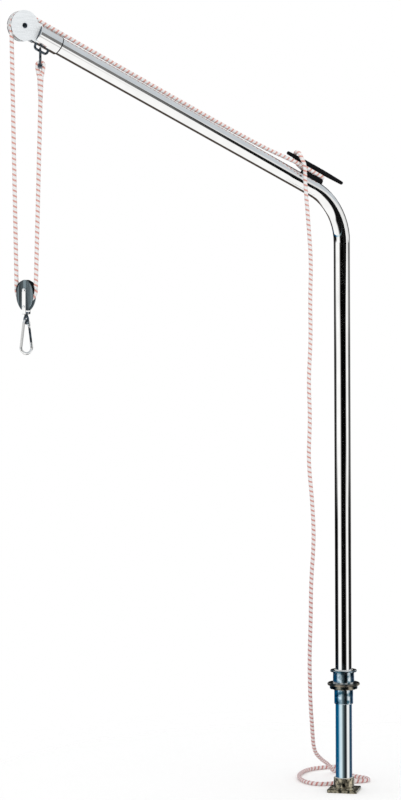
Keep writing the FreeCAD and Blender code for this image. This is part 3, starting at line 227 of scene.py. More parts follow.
def round_wheel(centre, side, up, radius, first, last, count):
    """Corners just outside a bend round a wheel, from one angle to another, in degrees."""
    step = (last - first) / count
    reach = radius / math.cos(math.radians(step / 2))
    angles = [math.radians(first + step * (k + 0.5)) for k in range(count)]
    return [centre + (side * math.cos(angle) + up * math.sin(angle)) * reach for angle in angles]


over = round_wheel(HEAD, X_AXIS, Z_AXIS, PITCH, 180, 90 - math.degrees(RISE), 3)
WHEEL_RUN = (over[1] - over[0]).length
mouth_distance = (MOUTH_DROP * math.sin(RISE) - PITCH) / math.cos(RISE)
MOUTH = HEAD + DOWN_ARM * mouth_distance - UP_ARM * MOUTH_DROP
off_wheel = HEAD + UP_ARM * PITCH + DOWN_ARM * 2 * PITCH
print("rope leaves the mouth at", rounded(MOUTH))

# %% [markdown]
# Between the head and the cleat the rope lies along the top of the tube. Its corners could be typed in the
# part's frame, but measured from the cleat, along the arm, across it and up, they stay in line with both.
# A corner with one short run gets a point on its long run, as far away as the next, so that the spline
# stays straight there.

# %% Rope along the arm
CLEAT_PLACE = 0.112
CLEAT_X = -CLEAT_PLACE * math.cos(RISE)
CLEAT = Vector((CLEAT_X, 0, CORNER_HEIGHT + CLEAT_PLACE * math.sin(RISE)))
STRAND_LIFT = 0.035
STRAND_SIDE = 0.0116
TUBE_SPOT = (-0.1932, -0.002, 0.027)
ENTRY_PLACE = -0.06992
TURNS_PLACE = -0.0552


def by_cleat(along, side, lift):
    return CLEAT + DOWN_ARM * along + ACROSS_ARM * side + UP_ARM * lift


on_tube = by_cleat(*TUBE_SPOT)
entry = by_cleat(ENTRY_PLACE, -STRAND_SIDE, STRAND_LIFT)
turns_start = by_cleat(TURNS_PLACE, -STRAND_SIDE, STRAND_LIFT)
run = [MOUTH, over[0] - Z_AXIS * WHEEL_RUN, *over, over[-1] + DOWN_ARM * WHEEL_RUN]
run += [off_wheel, on_tube, entry, turns_start]
rope_piece("rope_run", centre_line("rope_run", run), "rope_arm_run", "mast")

# %% [markdown]
# The cleat holds the rope by its turns: along the near side, round the lower leg, back on the far side,
# over the upper horn and down. The route could be drawn freely, but corners measured from the cleat keep
# every strand a little clear of it.

# %% Rope on the cleat
LEG_END = 0.0281
LEG_TURN = 2 * STRAND_SIDE
TAIL_GAP = 0.015
TAIL_SIDE = -STRAND_SIDE - TAIL_GAP
HORN_OVER = 0.0625
PLUMB_SHARE = 0.57
turns = [
    turns_start,
    by_cleat(LEG_END - LEG_TURN, -STRAND_SIDE, STRAND_LIFT),
    by_cleat(LEG_END, -STRAND_SIDE, STRAND_LIFT),
    by_cleat(LEG_END, STRAND_SIDE, STRAND_LIFT),
    by_cleat(LEG_END - LEG_TURN, STRAND_SIDE, STRAND_LIFT),
    by_cleat(-LEG_END * 1.15, STRAND_SIDE, STRAND_LIFT),
    by_cleat(-LEG_END * 1.98, STRAND_SIDE + 0.001, STRAND_LIFT + 0.010),
    by_cleat(-LEG_END * 2.35, STRAND_SIDE - 0.001, HORN_OVER),
    by_cleat(-LEG_END * 2.42, -STRAND_SIDE, HORN_OVER),
    by_cleat(-LEG_END * 2.12, TAIL_SIDE + 0.004, STRAND_LIFT + 0.013),
    by_cleat(-LEG_END * 1.64, TAIL_SIDE, STRAND_LIFT),
]
plumb = Z_AXIS * (STRAND_LIFT * PLUMB_SHARE / DOWN_ARM.x)
turns.append(turns[-1] - plumb)
rope_piece("rope_turns", centre_line("rope_turns", turns), "rope_cleat_turns", "mast")

# %% [markdown]
# The tail hangs from the cleat, swings behind the mast and lies on the floor in a small fold and a loose
# loop. A simulation could drop it there, but the corners listed here follow the photo, where they wander by
# a few millimetres, because real rope never hangs quite straight. The end goes behind the mast and is
# guessed: sealed with heat, which leaves a short smooth tip. The photo's tube shows no rope in its polish,
# so the tail is kept out of reflections.

# %% Rope tail
LYING = 0.0051
TAIL = [
    (-0.121, -0.027, 1.450), (-0.112, -0.026, 1.350), (-0.114, -0.023, 1.250), (-0.110, -0.020, 1.150),
    (-0.115, -0.016, 1.050), (-0.106, -0.010, 0.948), (-0.108, -0.003, 0.848), (-0.091, 0.005, 0.745),
    (-0.080, 0.013, 0.642), (-0.084, 0.022, 0.540), (-0.078, 0.033, 0.436), (-0.074, 0.046, 0.334),
    (-0.057, 0.068, 0.228), (-0.034, 0.094, 0.150), (-0.009, 0.124, 0.082), (0.035, 0.153, 0.051),
    (0.085, 0.190, 0.026), (0.107, 0.208, LYING), (0.121, 0.204, LYING), (0.130, 0.188, LYING),
    (0.121, 0.159, LYING), (0.113, 0.132, LYING), (0.120, 0.106, LYING), (0.127, 0.082, LYING),
    (0.121, 0.060, LYING), (0.102, 0.052, LYING), (0.079, 0.059, LYING), (0.054, 0.070, LYING),
    (0.016, 0.069, LYING), (-0.024, 0.080, LYING), (-0.037, 0.128, LYING), (-0.012, 0.196, LYING),
    (0.037, 0.245, LYING), (0.090, 0.268, LYING), (0.1355, 0.2575, LYING),
]
TIP_LENGTH = 0.016
TIP_RADII = {0: 0.0049, 0.05: 0.0050, 0.5: 0.0050, 0.9: 0.0050, 0.97: 0.0046, 1: 0.0036}
tail_corners = [turns[-1], turns[-1] - plumb] + [Vector(spot) for spot in TAIL]
tail_line = centre_line("rope_tail_free", tail_corners)
tail = rope_piece("rope_tail_free", tail_line, "rope_tail", "mast")
tail.visible_glossy = False
tail_way = (tail_line[-1] - tail_line[-2]).normalized()
tip_line = [tail_line[-1] + tail_way * TIP_LENGTH * share for share in TIP_RADII]
tip = rope_piece("rope_tip", tip_line, "rope_end_whipping", "mast", list(TIP_RADII.values()))
tuple(tail_line[0])
run_length(tail_line)
[tuple(p) for p in tail_line]

# %% [markdown]
# The rope's fixed end is spliced into an eye round the shackle's pin. The splice is thicker than the rope,
# because the strands are tucked back into it, and it tapers to the rope's own size. It could be sculpted
# strand by strand, but at this size a tube whose radius changes with the drop below the pin is enough.

# %% Spliced eye
EYE_BAR_PLACE = 0.066
PIN_DROP = 0.035
PIN = HEAD + DOWN_ARM * EYE_BAR_PLACE - UP_ARM * MOUTH_DROP - Z_AXIS * PIN_DROP
SHACKLE_TURN = -31.5
EYE_RADIUS = 0.0083
THROAT = 0.030
THROAT_SIDE = 0.0018
SPLICE_RADII = {0.0175: 0.0030, 0.020: 0.0062, 0.026: 0.0075, 0.036: 0.0072, 0.050: 0.0066,
                0.066: 0.0057, 0.080: 0.0050}
SPLICE_END = PIN - Z_AXIS * max(SPLICE_RADII)


def level_way(degrees):
    """A level direction, by degrees round from the X axis."""
    angle = math.radians(degrees)
    return Vector((math.cos(angle), math.sin(angle), 0))


lean = math.degrees(math.asin(EYE_RADIUS / THROAT))
eye_side = level_way(SHACKLE_TURN)
throat = PIN - Z_AXIS * THROAT
over_pin = round_wheel(PIN, eye_side, Z_AXIS, EYE_RADIUS, 180 + lean, -lean, 4)
eye = [throat - eye_side * THROAT_SIDE, *over_pin, throat + eye_side * THROAT_SIDE]
rope_piece("rope_eye", centre_line("rope_eye", eye), "rope_eye_splice", "tackle")
splice_line = [PIN - Z_AXIS * drop for drop in SPLICE_RADII]
rope_piece("rope_splice", splice_line, None, "tackle", list(SPLICE_RADII.values()))

# %% [markdown]
# Two falls hang from the head, joined by the turn under the block's sheave. When the block is hoisted they
# get shorter, which a rigid piece can't do. Here each fall is a plain tube between its two ends, tied to no
# body, with many steps along it.

# %% Falls and block turn
BLOCK = Vector((-0.907, 0, 1.2805))
BLOCK_PITCH = 0.025
BLOCK_TURN = -53.5
FALL_STEPS = 30
block_side = level_way(BLOCK_TURN)
under = round_wheel(BLOCK, block_side, Z_AXIS, BLOCK_PITCH, 180, 360, 4)
wrap = [BLOCK - block_side * BLOCK_PITCH, *under, BLOCK + block_side * BLOCK_PITCH]
rope_piece("rope_wrap", centre_line("rope_wrap", wrap), "rope_block_wrap", "block")


def fall(name, upper, lower, node):
    line = centre_line(name, [upper, (upper + lower) / 2, lower], FALL_STEPS)
    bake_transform(rope_piece(name, line, node), "tackle", "block", start=tuple(upper), end=tuple(lower))


fall("rope_fall_hauling", MOUTH, wrap[0], "rope_hauling_fall")
fall("rope_fall_fixed", SPLICE_END, wrap[-1], "rope_dead_end_fall")

# %% [markdown]
# A dark bead in the gap behind the head's sleeve is painted shadow: it stands for the shadow line at the
# step from sleeve to tube. A dark band in the tube's finish could stand for it, but a bead has thickness,
# and a torus turned to the arm is all that it needs.

# %% Dark bead as painted shadow behind the sleeve
SLEEVE_END = 0.102
SHADOW_BEAD_GAP = 0.0008
SHADOW_BEAD_RADIUS = 0.0217
SHADOW_BEAD_THICKNESS = 0.0034
shadow_bead_place = HEAD + DOWN_ARM * (SLEEVE_END + SHADOW_BEAD_GAP)
shadow_bead_turn = DOWN_ARM.to_track_quat("Z", "Y").to_euler()
bpy.ops.mesh.primitive_torus_add(location=shadow_bead_place, rotation=shadow_bead_turn, major_radius=SHADOW_BEAD_RADIUS,
                                 minor_radius=SHADOW_BEAD_THICKNESS / 2, major_segments=72, minor_segments=10)
shadow_bead = bpy.context.object
shadow_bead.name = "sleeve_shadow_bead"
shadow_bead.data.polygons.foreach_set("use_smooth", [True] * len(shadow_bead.data.polygons))
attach(shadow_bead, "mast")
print("painted bead at", rounded(shadow_bead_place))

# %% [markdown]
# Finishes are made of shader nodes only. They could be wired by hand in the shader editor, but a script
# repeats them exactly. Small helpers keep that code short: they make a material, a math node, a soft step
# between two values, a mix of two colours, or a group with named sockets.

# %% Material helpers


def new_material(name, metallic=0.0):
    material = bpy.data.materials.new(name)
    material.use_nodes = True
    shader = material.node_tree.nodes["Principled BSDF"]
    shader.inputs["Metallic"].default_value = metallic
    return material, material.node_tree, shader


def feed(tree, node, sources):
    """Gives a node's inputs plain values, or links them to other nodes."""
    for socket, source in zip(node.inputs, sources):
        if isinstance(source, (int, float, Vector)):
            socket.default_value = source
        else:
            tree.links.new(source, socket)


def math_node(tree, operation, *sources):
    node = tree.nodes.new("ShaderNodeMath")
    node.operation = operation
    feed(tree, node, sources)
    return node.outputs[0]


def vector_node(tree, operation, *sources):
    node = tree.nodes.new("ShaderNodeVectorMath")
    node.operation = operation
    feed(tree, node, sources)
    return node.outputs


def split(tree, source):
    node = tree.nodes.new("ShaderNodeSeparateXYZ")
    tree.links.new(source, node.inputs[0])
    return node.outputs


def own_place(tree):
    """Where a point lies, in metres from its own object's origin."""
    return tree.nodes.new("ShaderNodeTexCoord").outputs["Object"]


def soft_step(tree, source, low, high):
    """0 below low, 1 above high, smooth between."""
    node = tree.nodes.new("ShaderNodeMapRange")
    node.interpolation_type = "SMOOTHSTEP"
    tree.links.new(source, node.inputs["Value"])
    node.inputs["From Min"].default_value = low
    node.inputs["From Max"].default_value = high
    return node.outputs["Result"]


def mix(tree, factor, first, second):
    node = tree.nodes.new("ShaderNodeMix")
    node.data_type = "RGBA"
    tree.links.new(factor, node.inputs["Factor"])
    for socket, source in ((node.inputs["A"], first), (node.inputs["B"], second)):
        if isinstance(source, tuple):
            socket.default_value = (*source, 1)
        else:
            tree.links.new(source, socket)
    return node.outputs["Result"]


def new_group(name, inputs, outputs):
    tree = bpy.data.node_groups.new(name, "ShaderNodeTree")
    for way, sockets in (("INPUT", inputs), ("OUTPUT", outputs)):
        for label, kind in sockets.items():
            tree.interface.new_socket(label, in_out=way, socket_type="NodeSocket" + kind)
    return tree, tree.nodes.new("NodeGroupInput").outputs, tree.nodes.new("NodeGroupOutput").inputs


print("materials before the finishes", len(bpy.data.materials))

# %% [markdown]
# No real surface has one flat colour. Polish, castings, plastic and fibre all vary a little from spot to
# spot, so one group gives that to every finish: a noise, stretched as each finish needs, drives colour,
# gloss and height. Each finish could have its own nodes, but one group keeps them alike and easy to change.

# %% Grain group
GRAIN_DETAIL = 4.0
GRAIN_LOW = 0.32
GRAIN_HIGH = 0.68
grain, given, result = new_group(
    "fine_grain",
    {"Stretch": "Vector", "Low": "Color", "High": "Color", "Smooth": "Float", "Rough": "Float"},
    {"Colour": "Color", "Roughness": "Float", "Height": "Float"})
stretched = vector_node(grain, "MULTIPLY", own_place(grain), given["Stretch"])
noise = grain.nodes.new("ShaderNodeTexNoise")
noise.inputs["Scale"].default_value = 1.0
noise.inputs["Detail"].default_value = GRAIN_DETAIL
grain.links.new(stretched["Vector"], noise.inputs["Vector"])
share = soft_step(grain, noise.outputs[0], GRAIN_LOW, GRAIN_HIGH)
grain.links.new(mix(grain, share, given["Low"], given["High"]), result["Colour"])
gloss_range = math_node(grain, "SUBTRACT", given["Rough"], given["Smooth"])
roughness = math_node(grain, "MULTIPLY_ADD", share, gloss_range, given["Smooth"])
grain.links.new(roughness, result["Roughness"])
grain.links.new(share, result["Height"])
print("grain group nodes", len(grain.nodes))


def add_grain(tree, stretch, low, high, smooth, rough):
    node = tree.nodes.new("ShaderNodeGroup")
    node.node_tree = grain
    node.inputs["Stretch"].default_value = stretch
    node.inputs["Low"].default_value = (*low, 1)
    node.inputs["High"].default_value = (*high, 1)
    node.inputs["Smooth"].default_value = smooth
    node.inputs["Rough"].default_value = rough
    return node.outputs


def add_bump(tree, shader, height, distance, strength):
    node = tree.nodes.new("ShaderNodeBump")
    node.inputs["Strength"].default_value = strength
    node.inputs["Distance"].default_value = distance
    tree.links.new(height, node.inputs["Height"])
    tree.links.new(node.outputs[0], shader.inputs["Normal"])


# %% [markdown]
# A yacht braid has a white cover with a red marker yarn that winds round it and shows as slanting dashes.
# A picture could be wrapped round the tube, but waves stay sharp at any distance. A wave whose phase grows
# along the rope and round it makes such a winding band. The cover's own strands are two waves that wind in
# opposite ways. They raise the surface and break the marker up where it dips below them.

# %% Braid group
BRAID_PITCH = 0.0125
STRAND_WINDS = 2.0
STRAND_WAVES = 2
MARKER_WAVES = 1
MARKER_LOW = -0.1
MARKER_HIGH = 0.9
braid, given, result = new_group("rope_braid", {"Along": "Float", "Round": "Float"},
                                 {"Height": "Float", "Fleck": "Float"})
turns_along = math_node(braid, "MULTIPLY", given["Along"], 1 / BRAID_PITCH)


def wave(phase, count):
    return math_node(braid, "SINE", math_node(braid, "MULTIPLY", phase, 2 * math.pi * count))


def strand(sign):
    phase = math_node(braid, "MULTIPLY_ADD", given["Round"], sign * STRAND_WINDS, turns_along)
    return math_node(braid, "ABSOLUTE", wave(phase, STRAND_WAVES))


strands = math_node(braid, "MAXIMUM", strand(1), strand(-1))
braid.links.new(strands, result["Height"])
winding = math_node(braid, "ADD", turns_along, given["Round"])
marker = soft_step(braid, wave(winding, MARKER_WAVES), MARKER_LOW, MARKER_HIGH)
braid.links.new(math_node(braid, "MULTIPLY", marker, strands), result["Fleck"])
print("braid group nodes", len(braid.nodes))

# %% [markdown]
# A rope in use isn't equally clean. Up by the head it stays bright, while the tail is handled and lies on
# decks, so its cover is duller and its marker deeper. The whole rope could be a little dull instead, but the
# photo shows the change, so two colourings are mixed by height above the floor.

# %% Rope finish
CLEAN_MARKER = (0.70, 0.23, 0.16)
DULL_COVER = (0.74, 0.68, 0.67)
DULL_MARKER = (0.46, 0.07, 0.05)
DULL_BELOW = 0.2
CLEAN_ABOVE = 1.1
BRAID_RELIEF = 0.0006
BRAID_BUMP = 0.6
rope_finish, tree, shader = new_material("rope")
uv = tree.nodes.new("ShaderNodeUVMap")
uv.uv_map = "rope"
run_and_round = split(tree, uv.outputs[0])
weave = tree.nodes.new("ShaderNodeGroup")
weave.node_tree = braid
tree.links.new(run_and_round["X"], weave.inputs["Along"])
tree.links.new(run_and_round["Y"], weave.inputs["Round"])
cover = add_grain(tree, (700, 700, 700), (0.84, 0.82, 0.80), (0.94, 0.92, 0.90), 0.65, 0.85)
clean = mix(tree, weave.outputs["Fleck"], cover["Colour"], CLEAN_MARKER)
dull = mix(tree, weave.outputs["Fleck"], DULL_COVER, DULL_MARKER)
lifted = soft_step(tree, split(tree, own_place(tree))["Z"], DULL_BELOW, CLEAN_ABOVE)
tree.links.new(mix(tree, lifted, dull, clean), shader.inputs["Base Color"])
tree.links.new(cover["Roughness"], shader.inputs["Roughness"])
add_bump(tree, shader, weave.outputs["Height"], BRAID_RELIEF, BRAID_BUMP)
for thing in ropes:
    thing.data.materials.append(rope_finish)
print(len(ropes), "rope pieces")

# %% [markdown]
# The other finishes could each be wired by themselves, but they differ only in their numbers, so one
# function makes them all: polished tube, matt black plastic on the cleat, nylon bushes, and finishes that
# carry painted light in their colour. The deck bush's dark blue and white mottle is a painted reflection,
# and the small fittings are steel painted dark, as painted dark reflection and shade. The foot is a mottled
# bronze casting whose near-black and cream spots are partly painted reflection and highlight. The clamp
# ring and nut under the deck are painted nearly black with brown glints, a painted dark reflection. The
# block's cheeks are glossy black with painted highlight streaks. Metallic is the same all over, so it is
# set on the shader itself.

# %% Metal, plastic and nylon finishes
EVEN = Vector((1, 1, 1))
GRAIN_BUMP = 0.5


def grained(name, low, high, smooth, rough, stretch, metallic=0.0, bump=0.0, specular=0.5):
    """A finish with grain; bump is the height of its grain in metres."""
    material, tree, shader = new_material(name, metallic)
    shader.inputs["Specular IOR Level"].default_value = specular
    fields = add_grain(tree, stretch, low, high, smooth, rough)
    tree.links.new(fields["Colour"], shader.inputs["Base Color"])
    tree.links.new(fields["Roughness"], shader.inputs["Roughness"])
    if bump:
        add_bump(tree, shader, fields["Height"], bump, GRAIN_BUMP)
    return material


steel = grained("polished_steel", (0.91, 0.91, 0.90), (0.96, 0.96, 0.95), 0.02, 0.05, EVEN * 30, 1.0)
# Steel painted dark: painted dark reflection and shade, used on the small fittings and the head's rim.
steel_painted_dark = grained("steel_painted_dark", (0.015, 0.02, 0.025), (0.16, 0.2, 0.24), 0.05, 0.12, EVEN * 200, 1.0)
# The deck bush's dark blue and white mottle is a painted reflection of a dark blue surround and bright
# boards.
deck_bush_painted_reflections = grained("deck_bush_painted_reflections", (0.05, 0.14, 0.19), (0.90, 0.95, 0.98), 0.03, 0.08, EVEN * 90, 1.0)
satin = grained("satin_steel", (0.80, 0.81, 0.81), (0.88, 0.89, 0.89), 0.40, 0.55, Vector((40, 40, 600)))
bronze = grained("bronze", (0.45, 0.29, 0.12), (0.60, 0.41, 0.20), 0.25, 0.38, EVEN * 150, 1.0)
# Cast mottle, partly painted light: its near-black and cream spots stand for painted dark reflections and
# painted highlights.
foot_mottle_and_painted_glints = grained("foot_mottle_and_painted_glints", (0.02, 0.02, 0.018), (0.74, 0.66, 0.48), 0.20, 0.40, EVEN * 120,
                      metallic=1.0, bump=0.0005)
# Clamp ring and ring nut are the same steel, painted nearly black with brown glints: painted dark reflection
# and painted highlights.
deck_rings_painted_dark = grained("deck_rings_painted_dark", (0.006, 0.014, 0.018), (0.36, 0.31, 0.24), 0.05, 0.12, EVEN * 60, 1.0)
black = grained("black_plastic", (0.003, 0.003, 0.004), (0.008, 0.008, 0.009), 0.34, 0.44, EVEN * 900,
                bump=0.00003, specular=0.08)
# Glossy black cheeks with painted highlights: the blue-grey vertical streaks in the colour are painted
# reflections.
cheek_gloss_and_painted_streaks = grained("block_black_painted_streaks", (0.001, 0.002, 0.003), (0.21, 0.265, 0.285), 0.06, 0.12,
                Vector((150, 150, 4)), bump=0.002, specular=0.25)
nylon = grained("nylon", (0.68, 0.67, 0.62), (0.77, 0.76, 0.71), 0.42, 0.55, EVEN * 300)
print("materials in the file", len(bpy.data.materials))

# %% [markdown]
# Every CAD piece names the material it is made of, and that name could be enough. Some pieces look different
# in the photo from others of the same material, so those have a finish of their own, and all the others take
# the finish of their material.

# %% Finishes on the CAD pieces
FINISHES = {"polished_steel": steel, "foot_steel": foot_mottle_and_painted_glints, "black_plastic": black, "nylon": nylon,
            "bronze": bronze, "rope": rope_finish}
# Own finishes with painted light: painted reflections on the deck bush, clamp ring and ring nut, and painted
# highlight streaks on the block's cheeks.
OWN_FINISHES = {"clamp_ring": deck_rings_painted_dark, "ring_nut": deck_rings_painted_dark, "block_cheek_near": cheek_gloss_and_painted_streaks,
                "block_cheek_far": cheek_gloss_and_painted_streaks, "deck_bush": deck_bush_painted_reflections}
# These small steel fittings are painted dark: painted dark reflection and shade.
FITTINGS_PAINTED_DARK = ("swivel_eye", "swivel_nut", "hook_gate", "head_axle", "eye_strap", "shackle_bow",
                 "shackle_pin")
for name in FITTINGS_PAINTED_DARK:
    OWN_FINISHES[name] = steel_painted_dark
for row in frame["record"]["subparts"]:
    mesh = nodes[row["node"]].data
    mesh.materials.clear()
    mesh.materials.append(OWN_FINISHES.get(row["node"], FINISHES[row["material_slot"]]))
# The bead is painted shadow, so it takes the black finish.
shadow_bead.data.materials.append(black)
print("finishes on", len(nodes), "nodes")

# %% [markdown]
# The head's two round cheeks are brushed and the sleeve behind them is polished. The sleeve's front rim is
# painted dark, as painted shade where the sleeve meets the cheeks. All three are one CAD piece. It could be
# cut up, but a mesh may hold several materials, and each face says which one it uses: the flat faces near
# the axle are brushed, and those that look up the arm get the painted shade.

# %% Brushed cheeks and painted shade on the rim of the head
CHEEK_REACH = 0.050
RIM_REACH = 0.070
FLAT_FACING = 0.9999
RIM_FACING = 0.95
fork = nodes["head_fork"].data


def refinish(faces, material):
    """Gives some of the fork's faces another finish."""
    fork.materials.append(material)
    for face in faces:
        face.material_index = len(fork.materials) - 1


def from_head(face):
    return (face.center - HEAD).length


near_axle = [face for face in fork.polygons if from_head(face) < CHEEK_REACH]
flat = [face for face in near_axle if abs(face.normal.y) > FLAT_FACING]
by_rim = [face for face in fork.polygons if from_head(face) < RIM_REACH]
rim = [face for face in by_rim if face.normal.dot(DOWN_ARM) < -RIM_FACING]
refinish(flat, satin)
# The rim faces are painted dark: painted shade where sleeve and cheeks meet.
refinish(rim, steel_painted_dark)
print("brushed faces", len(flat), "rim faces", len(rim))

# %% [markdown]
# The floor is plain and pale. It takes the soft shadow of foot and rope and fades into the background, so
# that no edge shows. A huge plane could do that too, but polished metal would show it. Here metal looks
# through the floor at the surround below.

# %% Floor
FLOOR_RADIUS = 1.4
FLOOR_DROP = 0.0005
FADE_START = 0.35
FADE_END = 1.3
FLOOR_COLOUR = (0.985, 0.965, 0.945)
FLOOR_GLOW = 0.035


def matt(name, colour):
    """A dull finish that can also glow white."""
    material, tree, shader = new_material(name)
    shader.inputs["Base Color"].default_value = (*colour, 1)
    shader.inputs["Roughness"].default_value = 1.0
    shader.inputs["Specular IOR Level"].default_value = 0.0
    shader.inputs["Emission Color"].default_value = (1, 1, 1, 1)
    return material, tree, shader


bpy.ops.mesh.primitive_circle_add(vertices=96, radius=FLOOR_RADIUS, fill_type="NGON",
                                  location=(0, 0, -FLOOR_DROP))
floor_disc = bpy.context.object
floor_disc.name = "floor"
floor_finish, tree, shader = matt("pale_floor", FLOOR_COLOUR)
shader.inputs["Emission Strength"].default_value = FLOOR_GLOW
distance = vector_node(tree, "LENGTH", own_place(tree))["Value"]
path = tree.nodes.new("ShaderNodeLightPath")
faded = soft_step(tree, distance, FADE_START, FADE_END)
hidden = math_node(tree, "MAXIMUM", faded, path.outputs["Is Glossy Ray"])
blend = tree.nodes.new("ShaderNodeMixShader")
tree.links.new(hidden, blend.inputs[0])
tree.links.new(shader.outputs[0], blend.inputs[1])
tree.links.new(tree.nodes.new("ShaderNodeBsdfTransparent").outputs[0], blend.inputs[2])
tree.links.new(blend.outputs[0], tree.nodes["Material Output"].inputs["Surface"])
floor_disc.data.materials.append(floor_finish)
print("floor radius", FLOOR_RADIUS, "m")

# %% [markdown]
# In the photo a dark line runs along the arm, through the bend and into the mast, and it pales towards the
# head. A photographer gets such a line with flags, strips of black card beside the tube. It could be painted
# into the world, but then the mast would show it along its whole length. Near strips are seen by the tube
# beside them alone, and not by the camera.

# %% Black flags beside arm and bend
FLAG_DISTANCE = 0.6
BEND = Vector((0, 0, 1.46))
PALER_FROM = 0.02
PALER_TO = 0.42
DARK_GLOW = 0.006
PALER_GLOW = 0.19
card_finish, tree, shader = matt("black_card", (0.001, 0.001, 0.001))
up_the_arm = math_node(tree, "MULTIPLY", split(tree, own_place(tree))["X"], -1)
paler = soft_step(tree, up_the_arm, PALER_FROM, PALER_TO)
glow = math_node(tree, "MULTIPLY_ADD", paler, PALER_GLOW, DARK_GLOW)
tree.links.new(glow, shader.inputs["Emission Strength"])


def on_arm(x):
    return Vector((x, 0, CORNER_HEIGHT - x * math.tan(RISE)))


def beside(place, bearing, elevation):
    """A spot near a place on the tube, by bearing and elevation in degrees as that place sees it."""
    turn = math.radians(bearing)
    way = VIEW_RIGHT * math.sin(turn) - VIEW_WAY * math.cos(turn)
    return place + (way + Z_AXIS * math.tan(math.radians(elevation))) * FLAG_DISTANCE


def flag(name, stations):
    """A strip of card between a lower and an upper edge, given as each place on the tube sees them."""
    spots = [beside(place, *edge) for place, low, high in stations for edge in (low, high)]
    mesh = bpy.data.meshes.new(name)
    mesh.from_pydata(spots, [], [(i, i + 1, i + 3, i + 2) for i in range(0, len(spots) - 2, 2)])
    mesh.materials.append(card_finish)
    thing = new_object(name, mesh)
    thing.visible_camera = False
    thing.visible_diffuse = False
    thing.visible_shadow = False
    print(name, "with", len(mesh.polygons), "faces")


flag("bend_flag", [(BEND, (36, -28), (36, 9)), (BEND, (54, -15), (54, 9)), (BEND, (61, -5), (61, 9))])
flag("arm_flag", [(on_arm(-1.05), (55, -10), (69, 16)), (on_arm(-0.55), (53, -16), (67, 13)),
                  (on_arm(-0.33), (54, -23), (65, 6)), (on_arm(-0.15), (53, -31), (65, 1))])

# %% [markdown]
# Polished metal shows its surround, so a plain white studio would make the tube vanish. Photographers set
# dark boards among the white walls. They could be modelled, but the world can do it for glossy rays alone,
# which leaves the light on everything else soft and white. Two numbers tell where a ray goes: its turn from
# the camera's side and its rise above the horizon.

# %% World helpers
world = bpy.data.worlds.new("studio")
bpy.context.scene.world = world
world.use_nodes = True
tree = world.node_tree
tree.nodes.clear()
coordinates = tree.nodes.new("ShaderNodeTexCoord")


def dot_with(way):
    return vector_node(tree, "DOT_PRODUCT", coordinates.outputs["Generated"], way)["Value"]


turn = math_node(tree, "ARCTAN2", dot_with(VIEW_RIGHT), dot_with(-VIEW_WAY))
turn = math_node(tree, "MULTIPLY_ADD", turn, 1 / (2 * math.pi), 0.5)
rise = math_node(tree, "MULTIPLY", math_node(tree, "ARCSINE", dot_with(Z_AXIS)), 180 / math.pi)


def bands(stops):
    """A ring of colours, by degrees from the camera's side, to the right."""
    node = tree.nodes.new("ShaderNodeValToRGB")
    items = node.color_ramp.elements
    while len(items) < len(stops):
        items.new(1.0)
    for item, (degrees, colour) in zip(items, stops.items()):
        item.position = degrees / 360 + 0.5
        item.color = (*colour, 1) if isinstance(colour, tuple) else (colour, colour, colour, 1)
    tree.links.new(turn, node.inputs[0])
    return node.outputs["Color"]


print("world", world.name)

# %% [markdown]
# The surround is a stack of rings. The boards stand round the horizon, light and dark by compass direction,
# and low down they are blue, as the photo's lower tube shows. Below them the floor is dark far off on the
# camera's side, brown at the back and white near by, with one dark band to the right that lets the mast
# show in views from above. Over them come a grey wall and a grey ceiling. One ring would be simpler, but
# the bright strips in the mast change their width with height, so the boards have four.

# %% Bands of the surround
WHITE = (1.0, 1.0, 1.0)
BROWN = (0.07, 0.055, 0.045)
CEILING = (0.60, 0.63, 0.66)
LOW_CEILING = (0.57, 0.61, 0.65)
mid_floor = bands({-180: BROWN, -146: BROWN, -134: 1.0, 58: 1.0, 68: 0.02, 126: 0.04, 138: 1.0, 150: 1.0,
                   166: BROWN})
far_floor = bands({-180: BROWN, -122: BROWN, -112: 1.0, -40: 1.0, -20: 0.005, 40: 0.005, 48: 1.0, 150: 1.0,
                   166: BROWN})
low_boards = bands({
    -180: (0.75, 0.85, 0.9), -150: (0.0, 0.06, 0.16), -84: (0.0, 0.1, 0.22), -70: (0.25, 0.5, 0.68),
    -58: (0.62, 0.82, 0.92), -32: (0.66, 0.8, 0.86), -18: (0.19, 0.26, 0.28), 0: (0.05, 0.075, 0.085),
    14: (0.02, 0.025, 0.028), 32: (0.01, 0.015, 0.02), 42: (0.6, 0.64, 0.64), 50: (0.95, 0.97, 0.97),
    72: (0.85, 0.9, 0.92), 86: (0.04, 0.1, 0.16), 128: (0.0, 0.02, 0.06), 160: (0.5, 0.6, 0.75)})
mid_boards = bands({-180: 0.9, -150: 0.003, -84: 0.003, -70: 1.05, -38: 1.05, -24: 0.002, 32: 0.002,
                    46: 1.0, 66: 1.0, 80: 0.01, 132: 0.01, 150: 0.9})
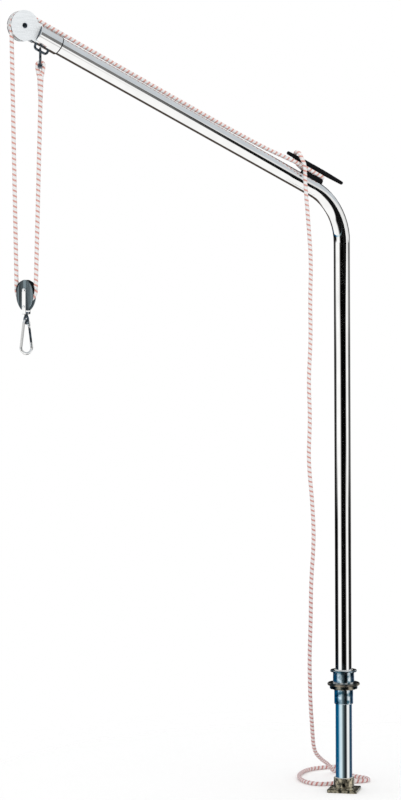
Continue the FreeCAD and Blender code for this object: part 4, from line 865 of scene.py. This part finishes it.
high_boards = bands({-180: 0.9, -150: 0.02, -100: 0.02, -84: 1.05, -38: 1.05, -22: 0.001, 42: 0.001,
                     56: 1.05, 78: 1.0, 92: 0.1, 132: 0.05, 150: 0.9})
top_boards = bands({-180: 0.9, -150: 0.03, -104: 0.03, -88: 1.05, -45: 1.05, -28: 0.001, 44: 0.001,
                    58: 1.05, 84: 0.9, 96: 0.2, 132: 0.1, 150: 0.9})
upper_wall = bands({-180: 0.1, -150: 0.6, 60: 0.7, 84: 0.9, 100: 0.85, 122: 0.6, 136: 0.02})
low_ceiling = bands({-180: 0.05, -150: LOW_CEILING, 140: LOW_CEILING, 160: 0.05})
EDGES = [(-69, -63, mid_floor), (-38, -32, far_floor), (-11.6, -11.1, low_boards), (-9.0, -8.6, mid_boards),
         (-5.5, -3.5, high_boards), (-1.8, -0.3, top_boards), (1.0, 3.0, upper_wall), (14, 20, low_ceiling),
         (36, 39, CEILING)]
reflected = WHITE
for low, high, ring in EDGES:
    reflected = mix(tree, soft_step(tree, rise, low, high), reflected, ring)
print("rings of the surround", len(EDGES))

# %% [markdown]
# The light is soft and white, a little stronger from the front and above, with a cool shade behind. Lamps
# could give it, but a world that changes slowly with direction has no hard edges. The camera itself sees
# plain white, as the photo's background is.

# %% Light
COOL_SHADE = (0.38, 0.46, 0.54)
SOFT_WHITE = (1.2, 1.2, 1.2)
front_and_above = (Z_AXIS - VIEW_WAY).normalized()
towards = math_node(tree, "MULTIPLY_ADD", dot_with(front_and_above), 0.5, 0.5)
soft_light = mix(tree, towards, COOL_SHADE, SOFT_WHITE)
path = tree.nodes.new("ShaderNodeLightPath")
seen = mix(tree, path.outputs["Is Glossy Ray"], soft_light, reflected)
seen = mix(tree, path.outputs["Is Camera Ray"], seen, WHITE)
background = tree.nodes.new("ShaderNodeBackground")
tree.links.new(seen, background.inputs["Color"])
out_node = tree.nodes.new("ShaderNodeOutputWorld")
tree.links.new(background.outputs[0], out_node.inputs["Surface"])
bpy.context.scene.view_settings.view_transform = "Standard"
print("world nodes", len(tree.nodes))
